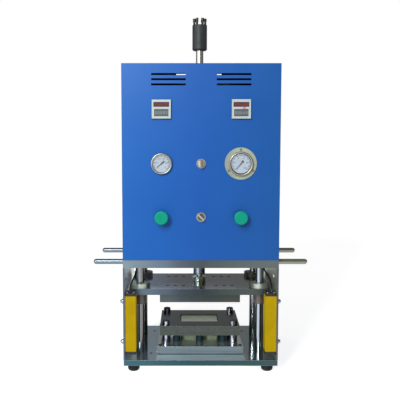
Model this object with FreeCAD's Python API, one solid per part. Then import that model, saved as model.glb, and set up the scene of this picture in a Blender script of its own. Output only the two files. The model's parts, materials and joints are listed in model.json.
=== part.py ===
import FreeCAD, Part
import math
import os

# Bench press that forms the pocket of a battery pouch. All sizes are in millimetres.
# X runs to the machine's right, +Y to its back and +Z up. The origin is on the bench,
# under the middle of the machine's outline.

os.makedirs("parts", exist_ok=True)
V = FreeCAD.Vector

# Press frame
WIDTH = 400.0
DEPTH = 340.0
BASE_THICKNESS = 15.0
SIDE_HEIGHT = 242.0
SIDE_THICKNESS = 4.0
TOP_THICKNESS = 20.0
PLATE_CHAMFER = 0.8
FOOT_RADIUS = 15.5
FOOT_HEIGHT = 19.0
FOOT_ROUND = 8.0
FOOT_INSET = 25.0

# Guide posts and the platen that slides on them
POST_RADIUS = 11.0
RUNNING_FIT = 0.05
PLATEN_SIDE_GAP = 7.5
PLATEN_WIDTH = WIDTH - 2 * SIDE_THICKNESS - 2 * PLATEN_SIDE_GAP
PLATEN_SETBACK = 58.0
PLATEN_DEPTH = DEPTH - 2 * PLATEN_SETBACK
PLATEN_THICKNESS = 16.0
POST_INSET_X = 27.5
POST_INSET_Y = 31.0
POST_SPAN_X = PLATEN_WIDTH - 2 * POST_INSET_X
POST_SPAN_Y = PLATEN_DEPTH - 2 * POST_INSET_Y
BUSHING_RADIUS = 16.0
BUSHING_BELOW = 28.0
FLANGE_RADIUS = 27.0
FLANGE_THICKNESS = 12.0
TOOL_HOLE_RADIUS = 3.4
TOOL_HOLE_DEPTH = 12.0
TOOL_ROW_INSET = 47.0
TOOL_ROW_SPAN = PLATEN_DEPTH - 2 * TOOL_ROW_INSET
TOOL_HOLE_SPANS = (88.0, 132.0, 176.0)

# Tooling: the upper die on the platen, the sprung plate and the punch below it
WORKING_GAP = 65.0
DIE_WIDTH = 216.0
DIE_DEPTH = 180.0
UPPER_DIE_THICKNESS = 25.0
DIE_CHAMFER = 0.6
PLATE_THICKNESS = 26.0
PUNCH_WIDTH = 103.0
PUNCH_DEPTH = 79.0
PUNCH_CORNER = 5.0
PUNCH_EDGE = 1.2
PUNCH_GAP = 1.0
PUNCH_BELOW_PLATE = 3.0
FORMING_GAP = 1.5
CAVITY_HEIGHT = 13.0
PIN_RADIUS = 10.0
PIN_INSET_X = 16.0
PIN_INSET_Y = 17.0
PIN_SPAN_X = DIE_WIDTH - 2 * PIN_INSET_X
PIN_SPAN_Y = DIE_DEPTH - 2 * PIN_INSET_Y
PIN_ABOVE_PLATE = 12.0
PIN_CHAMFER = 1.5
PIN_UPPER_GAP = 0.6
SPRING_RADIUS = 10.0
SPRING_HEIGHT = 22.0
SPRING_BORE = 4.0
SPRING_SPACING = 63.0
SPRING_INSET = 25.0
DIE_BASE_MARGIN_X = 7.5
DIE_BASE_MARGIN_Y = 28.0
DIE_BASE_WIDTH = DIE_WIDTH + 2 * DIE_BASE_MARGIN_X
DIE_BASE_DEPTH = DIE_DEPTH + 2 * DIE_BASE_MARGIN_Y
DIE_BASE_THICKNESS = 21.0

# Ram: coupling, rod and piston, the rod above the roof and its stroke sleeve
COUPLING_RADIUS = 18.0
COUPLING_HEIGHT = 13.0
NECK_RADIUS = 8.0
NECK_HEIGHT = 8.0
RAM_RADIUS = 16.5
RAM_FLAT_CUT = 1.3
RAM_FLAT_TURN = 17.0
RAM_FLAT_HEIGHT = 18.0
PISTON_HEIGHT = 180.0
PISTON_THICKNESS = 24.0
PISTON_GAP = 0.3
STROKE_ROD_RADIUS = 10.0
SLEEVE_RADIUS = 20.0
SLEEVE_ABOVE_ROOF = 54.0
SLEEVE_HEIGHT = 68.0
SLEEVE_ROUND = 4.0
SLEEVE_BORE_GAP = 0.2
SCREW_COUNT = 6
SLEEVE_SCREW_INSET = 5.0
SLEEVE_SCREW_RADIUS = 4.0
SLEEVE_SCREW_HEIGHT = 18.0
SLEEVE_SCREW_SHANK = 2.5
SLEEVE_SCREW_DEPTH = 12.0
SLEEVE_SCREW_GAP = 0.1

# Pneumatic cylinder inside the cabinet
HEAD_SIZE = 116.0
HEAD_HEIGHT = 30.0
HEAD_GLAND_GAP = 1.5
BARREL_RADIUS = 50.0
BARREL_WALL = 4.0
TIE_ROD_RADIUS = 5.0
TIE_ROD_INSET = 12.0
TIE_ROD_GAP = 0.1
TIE_NUT_RADIUS = 9.0
TIE_NUT_HEIGHT = 8.0

# Cabinet of folded sheet
CABINET_HEIGHT = 497.0
SHEET = 1.5
CYLINDER_HEADROOM = 41.0
BARREL_HEIGHT = CABINET_HEIGHT - 2 * HEAD_HEIGHT - CYLINDER_HEADROOM
SLOT_LENGTH = 86.0
SLOT_HEIGHT = 4.5
SLOT_INNER_X = 39.0
SLOT_BELOW_TOP = 27.0
SLOT_PITCH = 12.7
SLOT_ROWS = 3
ROOF_HOLE_RADIUS = 25.0
ROOF_WINDOW_WIDTH = 130.0
ROOF_WINDOW_DEPTH = 55.0
ROOF_WINDOW_FROM = 235.0

# Instruments on the front panel
INSTRUMENT_X = 100.0
TIMER_LEVEL = 383.5
TIMER_SIZE = 48.0
TIMER_LIP = 2.0
TIMER_PROUD = 7.0
TIMER_BODY_DEPTH = 60.0
TIMER_DISPLAY_SIDE = 5.0
TIMER_DISPLAY_HIGH = 16.5
TIMER_DISPLAY_LOW = 5.7
TIMER_KEYS_SIDE = 6.7
TIMER_KEYS_HIGH = -0.9
TIMER_KEYS_LOW = -17.7
TIMER_WINDOW_DEEP = 1.2
GAUGE_LEVEL = 247.0
SMALL_GAUGE_RADIUS = 27.0
SMALL_GAUGE_PROUD = 10.0
LARGE_GAUGE_RADIUS = 30.0
LARGE_GAUGE_PROUD = 13.0
GAUGE_RIM = 3.0
GAUGE_DIAL_DEEP = 4.0
GAUGE_BODY_SHRINK = 2.0
GAUGE_BODY_DEPTH = 28.0
GAUGE_FLANGE_WIDTH = 10.75
GAUGE_FLANGE_THICKNESS = 3.0
GAUGE_SCREW_RADIUS = 2.1
GAUGE_SCREW_INSET = 5.25
PANEL_FIT = 0.4
SWITCH_LEVEL = 111.5
KNOB_RADIUS = 8.5
COLLAR_RIM = 3.5
COLLAR_RADIUS = KNOB_RADIUS + COLLAR_RIM
COLLAR_PROUD = 4.0
COLLAR_BARREL = KNOB_RADIUS + 1.1
COLLAR_BLOCK = 26.0
COLLAR_BLOCK_DEPTH = 34.0
KNOB_PROUD = 9.0
KNOB_INSIDE = 10.0
KNOB_END_GAP = 0.5
KNOB_BAR_WIDTH = 4.5
KNOB_BAR_PROUD = 7.0
BUTTON_RADIUS = 17.5
BUTTON_PROUD = 30.0
BUTTON_HEAD = 14.5
BUTTON_CROWN = 4.0
BUTTON_STEM = 6.0
BUTTON_TRAVEL = 5.0
BUTTON_REACH = 17.5
BUTTON_END_GAP = 1.0
BUTTON_COLLAR_RADIUS = 14.0
BUTTON_COLLAR_PROUD = 5.0

# Light curtains, their fasteners and leads
CURTAIN_WIDTH = 29.0
CURTAIN_DEPTH = 40.0
CURTAIN_HEIGHT = 146.0
CURTAIN_SETBACK = 5.0
CURTAIN_BELOW_TOP = 75.0
CURTAIN_CAP = 8.0
CURTAIN_CAP_INSET = 0.8
CURTAIN_EDGE = 2.0
CURTAIN_GROOVE_WIDTH = 12.0
CURTAIN_GROOVE_DEEP = 2.0
CAP_NUT_RADIUS = 6.5
CAP_NUT_BASE = 4.0
CAP_NUT_SETBACK = 20.0
CAP_NUT_FROM_TOP = 16.0
CAP_NUT_FROM_FOOT = 23.5
CAP_NUT_SHANK = 2.5
CAP_NUT_SHANK_GAP = 0.1
LEAD_RADIUS = 2.1
LEAD_GLAND_RADIUS = 4.5
LEAD_GLAND_HEIGHT = 3.0

# Carry bars screwed into the edges of the top plate
BAR_RADIUS = 7.0
BAR_LENGTH = 80.0
BAR_SETBACKS = (42.0, 236.0)
BAR_SPIGOT_RADIUS = 5.0
BAR_SPIGOT_LENGTH = 14.0
BAR_SPIGOT_GAP = 0.1

# Levels, counted from the bench
BASE_LOW = FOOT_HEIGHT
SIDE_LOW = BASE_LOW + BASE_THICKNESS
TOP_LOW = SIDE_LOW + SIDE_HEIGHT
CABINET_LOW = TOP_LOW + TOP_THICKNESS
CABINET_TOP = CABINET_LOW + CABINET_HEIGHT
DIE_BASE_TOP = SIDE_LOW + DIE_BASE_THICKNESS
PLATE_LOW = DIE_BASE_TOP + SPRING_HEIGHT
PLATE_TOP = PLATE_LOW + PLATE_THICKNESS
UPPER_DIE_LOW = PLATE_TOP + WORKING_GAP
PLATEN_LOW = UPPER_DIE_LOW + UPPER_DIE_THICKNESS
PLATEN_TOP = PLATEN_LOW + PLATEN_THICKNESS
COUPLING_TOP = PLATEN_TOP + COUPLING_HEIGHT
RAM_LOW = COUPLING_TOP + NECK_HEIGHT
RAM_TOP = CABINET_LOW + PISTON_HEIGHT
CURTAIN_TOP = TOP_LOW - CURTAIN_BELOW_TOP
CURTAIN_LOW = CURTAIN_TOP - CURTAIN_HEIGHT
SLEEVE_LOW = CABINET_TOP + SLEEVE_ABOVE_ROOF
SLEEVE_TOP = SLEEVE_LOW + SLEEVE_HEIGHT

# The buttons stand out in front, so the front face lies a little behind the outline
FRONT = (BUTTON_PROUD - DEPTH) / 2
BACK = FRONT + DEPTH
MIDDLE = FRONT + DEPTH / 2
HALF = WIDTH / 2
UP = V(0, 0, 1)


def block(x_low, x_high, y_low, y_high, z_low, z_high):
    """Box between two corners."""
    corner = V(x_low, y_low, z_low)
    return Part.makeBox(x_high - x_low, y_high - y_low, z_high - z_low, corner)


def centred_block(width, depth, z_low, z_high):
    """Box centred on the press axis."""
    half_x = width / 2
    half_y = depth / 2
    return block(-half_x, half_x, MIDDLE - half_y, MIDDLE + half_y, z_low, z_high)


def upright(radius, x, y, z_low, z_high):
    """Vertical round bar."""
    return Part.makeCylinder(radius, z_high - z_low, V(x, y, z_low), UP)


def outward(radius, x, z, front, length):
    """Round bar that points out of the front panel, from front back by length."""
    return Part.makeCylinder(radius, length, V(x, FRONT - front, z), V(0, 1, 0))


def rectangle(span_x, span_y):
    """The four corners of a pattern centred on the press axis."""
    return [(sx * span_x / 2, MIDDLE + sy * span_y / 2) for sx in (-1, 1) for sy in (-1, 1)]


def export(node, *solids):
    """Write one named piece."""
    shape = solids[0] if len(solids) == 1 else Part.makeCompound(list(solids))
    shape.exportStep("parts/" + node + ".step")
    print(node, round(shape.Volume / 1000, 1), "cm3", "valid" if shape.isValid() else "INVALID")


def vertical_edges(shape, tolerance=0.01):
    """The straight edges of a shape that run along Z."""
    found = []
    for edge in shape.Edges:
        low, high = edge.Vertexes[0].Point, edge.Vertexes[-1].Point
        if abs(low.x - high.x) < tolerance and abs(low.y - high.y) < tolerance:
            found.append(edge)
    return found


def edges_at(shape, level, tolerance=0.01):
    """The edges of a shape that lie in one horizontal plane."""
    return [edge for edge in shape.Edges
            if abs(edge.BoundBox.ZMin - level) < tolerance
            and abs(edge.BoundBox.ZMax - level) < tolerance]


def frame_plate(z_low, z_high):
    """Full-size horizontal plate with broken corners."""
    plate = block(-HALF, HALF, FRONT, BACK, z_low, z_high)
    return plate.makeChamfer(PLATE_CHAMFER, vertical_edges(plate))


def rubber_foot(x, y):
    """Domed foot, widest under the base plate and flat where it stands."""
    foot = upright(FOOT_RADIUS, x, y, 0, FOOT_HEIGHT)
    return foot.makeFillet(FOOT_ROUND, edges_at(foot, 0))


def rubber_feet():
    return [rubber_foot(sx * (HALF - FOOT_INSET), y)
            for sx in (-1, 1) for y in (FRONT + FOOT_INSET, BACK - FOOT_INSET)]


def cap_nut_places():
    """Distance back and height of the cap nuts on either side plate."""
    levels = (CURTAIN_TOP - CAP_NUT_FROM_TOP, CURTAIN_LOW + CAP_NUT_FROM_FOOT)
    return [(FRONT + CAP_NUT_SETBACK, level) for level in levels]


def side_plate(side):
    inner, outer = sorted((side * (HALF - SIDE_THICKNESS), side * HALF))
    plate = block(inner, outer, FRONT, BACK, SIDE_LOW, TOP_LOW)
    for y, z in cap_nut_places():
        hole = Part.makeCylinder(CAP_NUT_SHANK + CAP_NUT_SHANK_GAP, SIDE_THICKNESS,
                                 V(inner, y, z), V(1, 0, 0))
        plate = plate.cut(hole)
    return plate


def cap_nut(side, y, z):
    """Domed nut on the outside of a side plate, with the bolt that reaches the curtain."""
    outward_x = V(side, 0, 0)
    face = V(side * HALF, y, z)
    base = Part.makeCylinder(CAP_NUT_RADIUS, CAP_NUT_BASE, face, outward_x)
    dome = Part.makeSphere(CAP_NUT_RADIUS - 1, face + outward_x * CAP_NUT_BASE)
    half_space = Part.makeCylinder(CAP_NUT_RADIUS * 2, CAP_NUT_RADIUS * 2,
                                   face + outward_x * CAP_NUT_BASE, outward_x)
    shank = Part.makeCylinder(CAP_NUT_SHANK, SIDE_THICKNESS, face, outward_x * -1)
    return base.fuse([dome.common(half_space), shank]).removeSplitter()


def cap_nuts():
    return [cap_nut(side, y, z) for side in (-1, 1) for y, z in cap_nut_places()]


def guide_posts():
    return [upright(POST_RADIUS, x, y, SIDE_LOW, TOP_LOW)
            for x, y in rectangle(POST_SPAN_X, POST_SPAN_Y)]


def bar_places():
    return [(side, FRONT + setback) for side in (-1, 1) for setback in BAR_SETBACKS]


def bar_level():
    return TOP_LOW + TOP_THICKNESS / 2


def top_plate():
    plate = frame_plate(TOP_LOW, CABINET_LOW)
    plate = plate.cut(upright(RAM_RADIUS + HEAD_GLAND_GAP, 0, MIDDLE, TOP_LOW, CABINET_LOW))
    for side, y in bar_places():
        seat = Part.makeCylinder(BAR_SPIGOT_RADIUS + BAR_SPIGOT_GAP, BAR_SPIGOT_LENGTH,
                                 V(side * HALF, y, bar_level()), V(-side, 0, 0))
        plate = plate.cut(seat)
    return plate


def carry_bar(side, y):
    """Handle bar with a rounded end and a spigot in the edge of the top plate."""
    away = V(side, 0, 0)
    root = V(side * HALF, y, bar_level())
    straight = BAR_LENGTH - BAR_RADIUS
    bar = Part.makeCylinder(BAR_RADIUS, straight, root, away)
    ball = Part.makeSphere(BAR_RADIUS, root + away * straight)
    spigot = Part.makeCylinder(BAR_SPIGOT_RADIUS, BAR_SPIGOT_LENGTH, root, away * -1)
    return bar.fuse([ball, spigot]).removeSplitter()


def carry_bars():
    return [carry_bar(side, y) for side, y in bar_places()]


def die_base():
    plate = centred_block(DIE_BASE_WIDTH, DIE_BASE_DEPTH, SIDE_LOW, DIE_BASE_TOP)
    return plate.makeChamfer(DIE_CHAMFER, edges_at(plate, DIE_BASE_TOP))


def guide_pins():
    pins = []
    top = PLATE_TOP + PIN_ABOVE_PLATE
    for x, y in rectangle(PIN_SPAN_X, PIN_SPAN_Y):
        pin = upright(PIN_RADIUS, x, y, DIE_BASE_TOP, top)
        pins.append(pin.makeChamfer(PIN_CHAMFER, edges_at(pin, top)))
    return pins


def spring_places():
    row_offset = DIE_DEPTH / 2 - SPRING_INSET
    return [(column * SPRING_SPACING, MIDDLE + row * row_offset)
            for column in (-1, 0, 1) for row in (-1, 1)]


def die_springs():
    """Elastomer springs, each a thick tube."""
    return [upright(SPRING_RADIUS, x, y, DIE_BASE_TOP, PLATE_LOW).cut(
        upright(SPRING_BORE, x, y, DIE_BASE_TOP, PLATE_LOW)) for x, y in spring_places()]


def forming_punch():
    top = PLATE_TOP - PUNCH_BELOW_PLATE
    punch = centred_block(PUNCH_WIDTH, PUNCH_DEPTH, DIE_BASE_TOP, top)
    punch = punch.makeFillet(PUNCH_CORNER, vertical_edges(punch))
    return punch.makeFillet(PUNCH_EDGE, edges_at(punch, top))


def pressure_plate():
    """Blank holder that slides on the pins round the punch."""
    plate = centred_block(DIE_WIDTH, DIE_DEPTH, PLATE_LOW, PLATE_TOP)
    plate = plate.makeChamfer(DIE_CHAMFER, edges_at(plate, PLATE_TOP))
    opening = centred_block(PUNCH_WIDTH + 2 * PUNCH_GAP, PUNCH_DEPTH + 2 * PUNCH_GAP,
                            PLATE_LOW, PLATE_TOP)
    plate = plate.cut(opening.makeFillet(PUNCH_CORNER + PUNCH_GAP, vertical_edges(opening)))
    for x, y in rectangle(PIN_SPAN_X, PIN_SPAN_Y):
        plate = plate.cut(upright(PIN_RADIUS + RUNNING_FIT, x, y, PLATE_LOW, PLATE_TOP))
    return plate


def upper_die():
    """Die with the pocket that the punch presses the sheet into."""
    die = centred_block(DIE_WIDTH, DIE_DEPTH, UPPER_DIE_LOW, PLATEN_LOW)
    die = die.makeChamfer(DIE_CHAMFER, edges_at(die, UPPER_DIE_LOW))
    pocket = centred_block(PUNCH_WIDTH + 2 * FORMING_GAP, PUNCH_DEPTH + 2 * FORMING_GAP,
                           UPPER_DIE_LOW, UPPER_DIE_LOW + CAVITY_HEIGHT)
    die = die.cut(pocket.makeFillet(PUNCH_CORNER + FORMING_GAP, vertical_edges(pocket)))
    for x, y in rectangle(PIN_SPAN_X, PIN_SPAN_Y):
        die = die.cut(upright(PIN_RADIUS + PIN_UPPER_GAP, x, y, UPPER_DIE_LOW, PLATEN_LOW))
    return die


def platen():
    plate = centred_block(PLATEN_WIDTH, PLATEN_DEPTH, PLATEN_LOW, PLATEN_TOP)
    plate = plate.makeChamfer(PLATE_CHAMFER, vertical_edges(plate))
    for x, y in rectangle(POST_SPAN_X, POST_SPAN_Y):
        plate = plate.cut(upright(BUSHING_RADIUS, x, y, PLATEN_LOW, PLATEN_TOP))
    for span in TOOL_HOLE_SPANS:
        for x, y in rectangle(span, TOOL_ROW_SPAN):
            floor = PLATEN_TOP - TOOL_HOLE_DEPTH
            plate = plate.cut(upright(TOOL_HOLE_RADIUS, x, y, floor, PLATEN_TOP))
    return plate


def platen_bushing(x, y):
    low = PLATEN_LOW - BUSHING_BELOW
    flange_top = PLATEN_TOP + FLANGE_THICKNESS
    body = upright(BUSHING_RADIUS, x, y, low, PLATEN_TOP)
    flange = upright(FLANGE_RADIUS, x, y, PLATEN_TOP, flange_top)
    bore = upright(POST_RADIUS + RUNNING_FIT, x, y, low, flange_top)
    return body.fuse(flange).cut(bore)


def platen_bushings():
    return [platen_bushing(x, y) for x, y in rectangle(POST_SPAN_X, POST_SPAN_Y)]


def rod_coupling():
    """Disc on the platen with the narrow neck that the ram rod screws on."""
    disc = upright(COUPLING_RADIUS, 0, MIDDLE, PLATEN_TOP, COUPLING_TOP)
    disc = disc.makeChamfer(DIE_CHAMFER, edges_at(disc, COUPLING_TOP))
    neck = upright(NECK_RADIUS, 0, MIDDLE, COUPLING_TOP, RAM_LOW)
    return disc.fuse(neck)


def ram_rod():
    """Rod with wrench flats at its lower end and the piston at its upper end."""
    rod = upright(RAM_RADIUS, 0, MIDDLE, RAM_LOW, RAM_TOP)
    half_flat = RAM_RADIUS - RAM_FLAT_CUT
    for side in (-1, 1):
        near, far = sorted((MIDDLE + side * half_flat, MIDDLE + side * RAM_RADIUS * 2))
        flat = block(-RAM_RADIUS, RAM_RADIUS, near, far, RAM_LOW, RAM_LOW + RAM_FLAT_HEIGHT)
        flat.rotate(V(0, MIDDLE, 0), V(0, 0, 1), -RAM_FLAT_TURN)
        rod = rod.cut(flat)
    radius = BARREL_RADIUS - BARREL_WALL - PISTON_GAP
    piston = upright(radius, 0, MIDDLE, RAM_TOP, RAM_TOP + PISTON_THICKNESS)
    return rod.fuse(piston)


def screw_places():
    """Centres of the screws on top of the stroke sleeve."""
    places = []
    radius = SLEEVE_RADIUS - SLEEVE_SCREW_INSET
    for index in range(SCREW_COUNT):
        angle = 2 * math.pi * index / SCREW_COUNT
        places.append((radius * math.cos(angle), MIDDLE + radius * math.sin(angle)))
    return places


def stroke_rod():
    low = RAM_TOP + PISTON_THICKNESS
    return upright(STROKE_ROD_RADIUS, 0, MIDDLE, low, SLEEVE_TOP)


def stroke_sleeve():
    """Thick sleeve on the rod, with a rounded lower edge and tapped holes on top."""
    sleeve = upright(SLEEVE_RADIUS, 0, MIDDLE, SLEEVE_LOW, SLEEVE_TOP)
    sleeve = sleeve.makeFillet(SLEEVE_ROUND, edges_at(sleeve, SLEEVE_LOW))
    sleeve = sleeve.cut(upright(STROKE_ROD_RADIUS + SLEEVE_BORE_GAP, 0, MIDDLE,
                                SLEEVE_LOW, SLEEVE_TOP))
    for x, y in screw_places():
        floor = SLEEVE_TOP - SLEEVE_SCREW_DEPTH
        hole = upright(SLEEVE_SCREW_SHANK + SLEEVE_SCREW_GAP, x, y, floor, SLEEVE_TOP)
        sleeve = sleeve.cut(hole)
    return sleeve


def sleeve_screws():
    screws = []
    for x, y in screw_places():
        head = upright(SLEEVE_SCREW_RADIUS, x, y, SLEEVE_TOP, SLEEVE_TOP + SLEEVE_SCREW_HEIGHT)
        shank = upright(SLEEVE_SCREW_SHANK, x, y, SLEEVE_TOP - SLEEVE_SCREW_DEPTH, SLEEVE_TOP)
        screws.append(head.fuse(shank))
    return screws


def barrel_levels():
    low = CABINET_LOW + HEAD_HEIGHT
    return low, low + BARREL_HEIGHT


def tie_rod_places():
    span = HEAD_SIZE - 2 * TIE_ROD_INSET
    return rectangle(span, span)


def cylinder_heads():
    low, high = barrel_levels()
    heads = []
    for z_low, z_high, bore in ((CABINET_LOW, low, RAM_RADIUS),
                                (high, high + HEAD_HEIGHT, STROKE_ROD_RADIUS)):
        head = centred_block(HEAD_SIZE, HEAD_SIZE, z_low, z_high)
        head = head.cut(upright(bore + RUNNING_FIT, 0, MIDDLE, z_low, z_high))
        for x, y in tie_rod_places():
            head = head.cut(upright(TIE_ROD_RADIUS + TIE_ROD_GAP, x, y, z_low, z_high))
        heads.append(head)
    return heads


def cylinder_barrel():
    low, high = barrel_levels()
    outer = upright(BARREL_RADIUS, 0, MIDDLE, low, high)
    return outer.cut(upright(BARREL_RADIUS - BARREL_WALL, 0, MIDDLE, low, high))


def cylinder_tie_rods():
    low, high = barrel_levels()
    top = high + HEAD_HEIGHT
    rods = []
    for x, y in tie_rod_places():
        rod = upright(TIE_ROD_RADIUS, x, y, CABINET_LOW, top)
        nut = upright(TIE_NUT_RADIUS, x, y, top, top + TIE_NUT_HEIGHT)
        rods.append(rod.fuse(nut))
    return rods


def instrument_cutouts():
    """Holes through the front panel, one for each instrument, switch and button."""
    body_half = TIMER_SIZE / 2 - TIMER_LIP + PANEL_FIT
    cuts = []
    for x in (-INSTRUMENT_X, INSTRUMENT_X):
        z = CABINET_LOW + TIMER_LEVEL
        cuts.append(block(x - body_half, x + body_half, FRONT, FRONT + SHEET,
                          z - body_half, z + body_half))
    round_holes = [
        (-INSTRUMENT_X, GAUGE_LEVEL, SMALL_GAUGE_RADIUS - GAUGE_BODY_SHRINK),
        (INSTRUMENT_X, GAUGE_LEVEL, LARGE_GAUGE_RADIUS - GAUGE_BODY_SHRINK),
        (0, GAUGE_LEVEL, COLLAR_BARREL),
        (0, SWITCH_LEVEL, COLLAR_BARREL),
        (-INSTRUMENT_X, SWITCH_LEVEL, COLLAR_BARREL),
        (INSTRUMENT_X, SWITCH_LEVEL, COLLAR_BARREL)]
    for x, level, radius in round_holes:
        cuts.append(outward(radius + PANEL_FIT, x, CABINET_LOW + level, 0, SHEET))
    return cuts


def front_panel():
    panel = block(-HALF, HALF, FRONT, FRONT + SHEET, CABINET_LOW, CABINET_TOP)
    panel = panel.cut(instrument_cutouts())
    for row in range(SLOT_ROWS):
        z = CABINET_TOP - SLOT_BELOW_TOP - row * SLOT_PITCH
        for side in (-1, 1):
            low, high = sorted((side * SLOT_INNER_X, side * (SLOT_INNER_X + SLOT_LENGTH)))
            panel = panel.cut(block(low, high, FRONT, FRONT + SHEET,
                                    z - SLOT_HEIGHT / 2, z + SLOT_HEIGHT / 2))
    return panel


def cabinet_side(side):
    low, high = sorted((side * (HALF - SHEET), side * HALF))
    return block(low, high, FRONT + SHEET, BACK - SHEET, CABINET_LOW, CABINET_TOP)


def cabinet_rear():
    return block(-HALF, HALF, BACK - SHEET, BACK, CABINET_LOW, CABINET_TOP)


def cabinet_roof():
    half_x = HALF - SHEET
    roof = block(-half_x, half_x, FRONT + SHEET, BACK - SHEET, CABINET_TOP - SHEET, CABINET_TOP)
    roof = roof.cut(upright(ROOF_HOLE_RADIUS, 0, MIDDLE, CABINET_TOP - SHEET, CABINET_TOP))
    window_low = FRONT + ROOF_WINDOW_FROM
    window = block(-ROOF_WINDOW_WIDTH / 2, ROOF_WINDOW_WIDTH / 2, window_low,
                   window_low + ROOF_WINDOW_DEPTH, CABINET_TOP - SHEET, CABINET_TOP)
    return roof.cut(window)


def panel_timer(x):
    """Square instrument with two sunk display windows and a body behind the panel."""
    z = CABINET_LOW + TIMER_LEVEL
    half = TIMER_SIZE / 2
    body_half = half - TIMER_LIP
    bezel = block(x - half, x + half, FRONT - TIMER_PROUD, FRONT, z - half, z + half)
    body = block(x - body_half, x + body_half, FRONT, FRONT + TIMER_BODY_DEPTH,
                 z - body_half, z + body_half)
    timer = bezel.fuse(body)
    face = FRONT - TIMER_PROUD
    for side, low, high in ((TIMER_DISPLAY_SIDE, TIMER_DISPLAY_LOW, TIMER_DISPLAY_HIGH),
                            (TIMER_KEYS_SIDE, TIMER_KEYS_LOW, TIMER_KEYS_HIGH)):
        window_half = half - side
        timer = timer.cut(block(x - window_half, x + window_half, face,
                                face + TIMER_WINDOW_DEEP, z + low, z + high))
    return timer


def gauge(x, radius, proud):
    """Round gauge: a rim round a sunk dial, and a body behind the panel."""
    z = CABINET_LOW + GAUGE_LEVEL
    rim = outward(radius, x, z, proud, proud)
    dial = outward(radius - GAUGE_RIM, x, z, proud, GAUGE_DIAL_DEEP)
    body = outward(radius - GAUGE_BODY_SHRINK, x, z, 0, GAUGE_BODY_DEPTH)
    return rim.fuse(body).cut(dial)


def large_gauge():
    """Regulator gauge with a mounting flange and three screw holes."""
    z = CABINET_LOW + GAUGE_LEVEL
    flange_radius = LARGE_GAUGE_RADIUS + GAUGE_FLANGE_WIDTH
    flange = outward(flange_radius, INSTRUMENT_X, z, GAUGE_FLANGE_THICKNESS,
                     GAUGE_FLANGE_THICKNESS)
    screw_circle = flange_radius - GAUGE_SCREW_INSET
    for index in range(3):
        angle = math.pi / 2 + 2 * math.pi * index / 3
        hole_x = INSTRUMENT_X + screw_circle * math.cos(angle)
        hole_z = z + screw_circle * math.sin(angle)
        flange = flange.cut(outward(GAUGE_SCREW_RADIUS, hole_x, hole_z,
                                    GAUGE_FLANGE_THICKNESS, GAUGE_FLANGE_THICKNESS))
    return flange.fuse(gauge(INSTRUMENT_X, LARGE_GAUGE_RADIUS, LARGE_GAUGE_PROUD))


def collar(x, level, ring_radius, ring_proud, shaft_radius, shaft_depth):
    """Panel collar with its switch block behind and a blind bore for the moving shaft."""
    z = CABINET_LOW + level
    half = COLLAR_BLOCK / 2
    ring = outward(ring_radius, x, z, ring_proud, ring_proud)
    barrel = outward(COLLAR_BARREL, x, z, 0, SHEET)
    behind = block(x - half, x + half, FRONT + SHEET, FRONT + SHEET + COLLAR_BLOCK_DEPTH,
                   z - half, z + half)
    bore = outward(shaft_radius + RUNNING_FIT, x, z, ring_proud, ring_proud + shaft_depth)
    return ring.fuse([barrel, behind]).cut(bore)


def switch_collars():
    depth = KNOB_INSIDE + KNOB_END_GAP
    return [collar(0, level, COLLAR_RADIUS, COLLAR_PROUD, KNOB_RADIUS, depth)
            for level in (GAUGE_LEVEL, SWITCH_LEVEL)]


def knob(level, tilt):
    """Round knob with a raised grip bar, turned by tilt degrees from upright."""
    z = CABINET_LOW + level
    body = outward(KNOB_RADIUS, 0, z, KNOB_PROUD, KNOB_PROUD + KNOB_INSIDE)
    front = FRONT - KNOB_PROUD - KNOB_BAR_PROUD
    bar = block(-KNOB_BAR_WIDTH / 2, KNOB_BAR_WIDTH / 2, front, FRONT - KNOB_PROUD,
                z - KNOB_RADIUS, z + KNOB_RADIUS)
    bar = bar.common(outward(KNOB_RADIUS, 0, z, KNOB_PROUD + KNOB_BAR_PROUD, KNOB_BAR_PROUD))
    shape = body.fuse(bar)
    shape.rotate(V(0, FRONT, z), V(0, 1, 0), tilt)
    return shape


def button_collars():
    inside = BUTTON_REACH + BUTTON_TRAVEL + BUTTON_END_GAP
    return [collar(x, SWITCH_LEVEL, BUTTON_COLLAR_RADIUS, BUTTON_COLLAR_PROUD,
                   BUTTON_STEM, inside) for x in (-INSTRUMENT_X, INSTRUMENT_X)]


def start_button(x):
    """Mushroom head on a stem that slides into its collar."""
    z = CABINET_LOW + SWITCH_LEVEL
    head = outward(BUTTON_RADIUS, x, z, BUTTON_PROUD, BUTTON_HEAD)
    front_edges = [edge for edge in head.Edges
                   if abs(edge.BoundBox.YMax - (FRONT - BUTTON_PROUD)) < 0.01]
    head = head.makeFillet(BUTTON_CROWN, front_edges)
    stem_front = BUTTON_PROUD - BUTTON_HEAD
    stem = outward(BUTTON_STEM, x, z, stem_front, stem_front + BUTTON_REACH)
    return head.fuse(stem)


def curtain_range(side):
    """Inner and outer X of a light curtain that lies against its side plate."""
    outer = side * (HALF - SIDE_THICKNESS)
    return sorted((outer, outer - side * CURTAIN_WIDTH))


def light_curtain(side):
    low, high = curtain_range(side)
    y_low = FRONT + CURTAIN_SETBACK
    y_high = y_low + CURTAIN_DEPTH
    body = block(low, high, y_low, y_high, CURTAIN_LOW, CURTAIN_TOP)
    body = body.makeFillet(CURTAIN_EDGE, vertical_edges(body))
    inner = low if side > 0 else high
    y_mid = (y_low + y_high) / 2
    edge_low, edge_high = sorted((inner, inner + side * CURTAIN_GROOVE_DEEP))
    groove = block(edge_low, edge_high, y_mid - CURTAIN_GROOVE_WIDTH / 2,
                   y_mid + CURTAIN_GROOVE_WIDTH / 2, CURTAIN_LOW, CURTAIN_TOP)
    return body.cut(groove)


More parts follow.
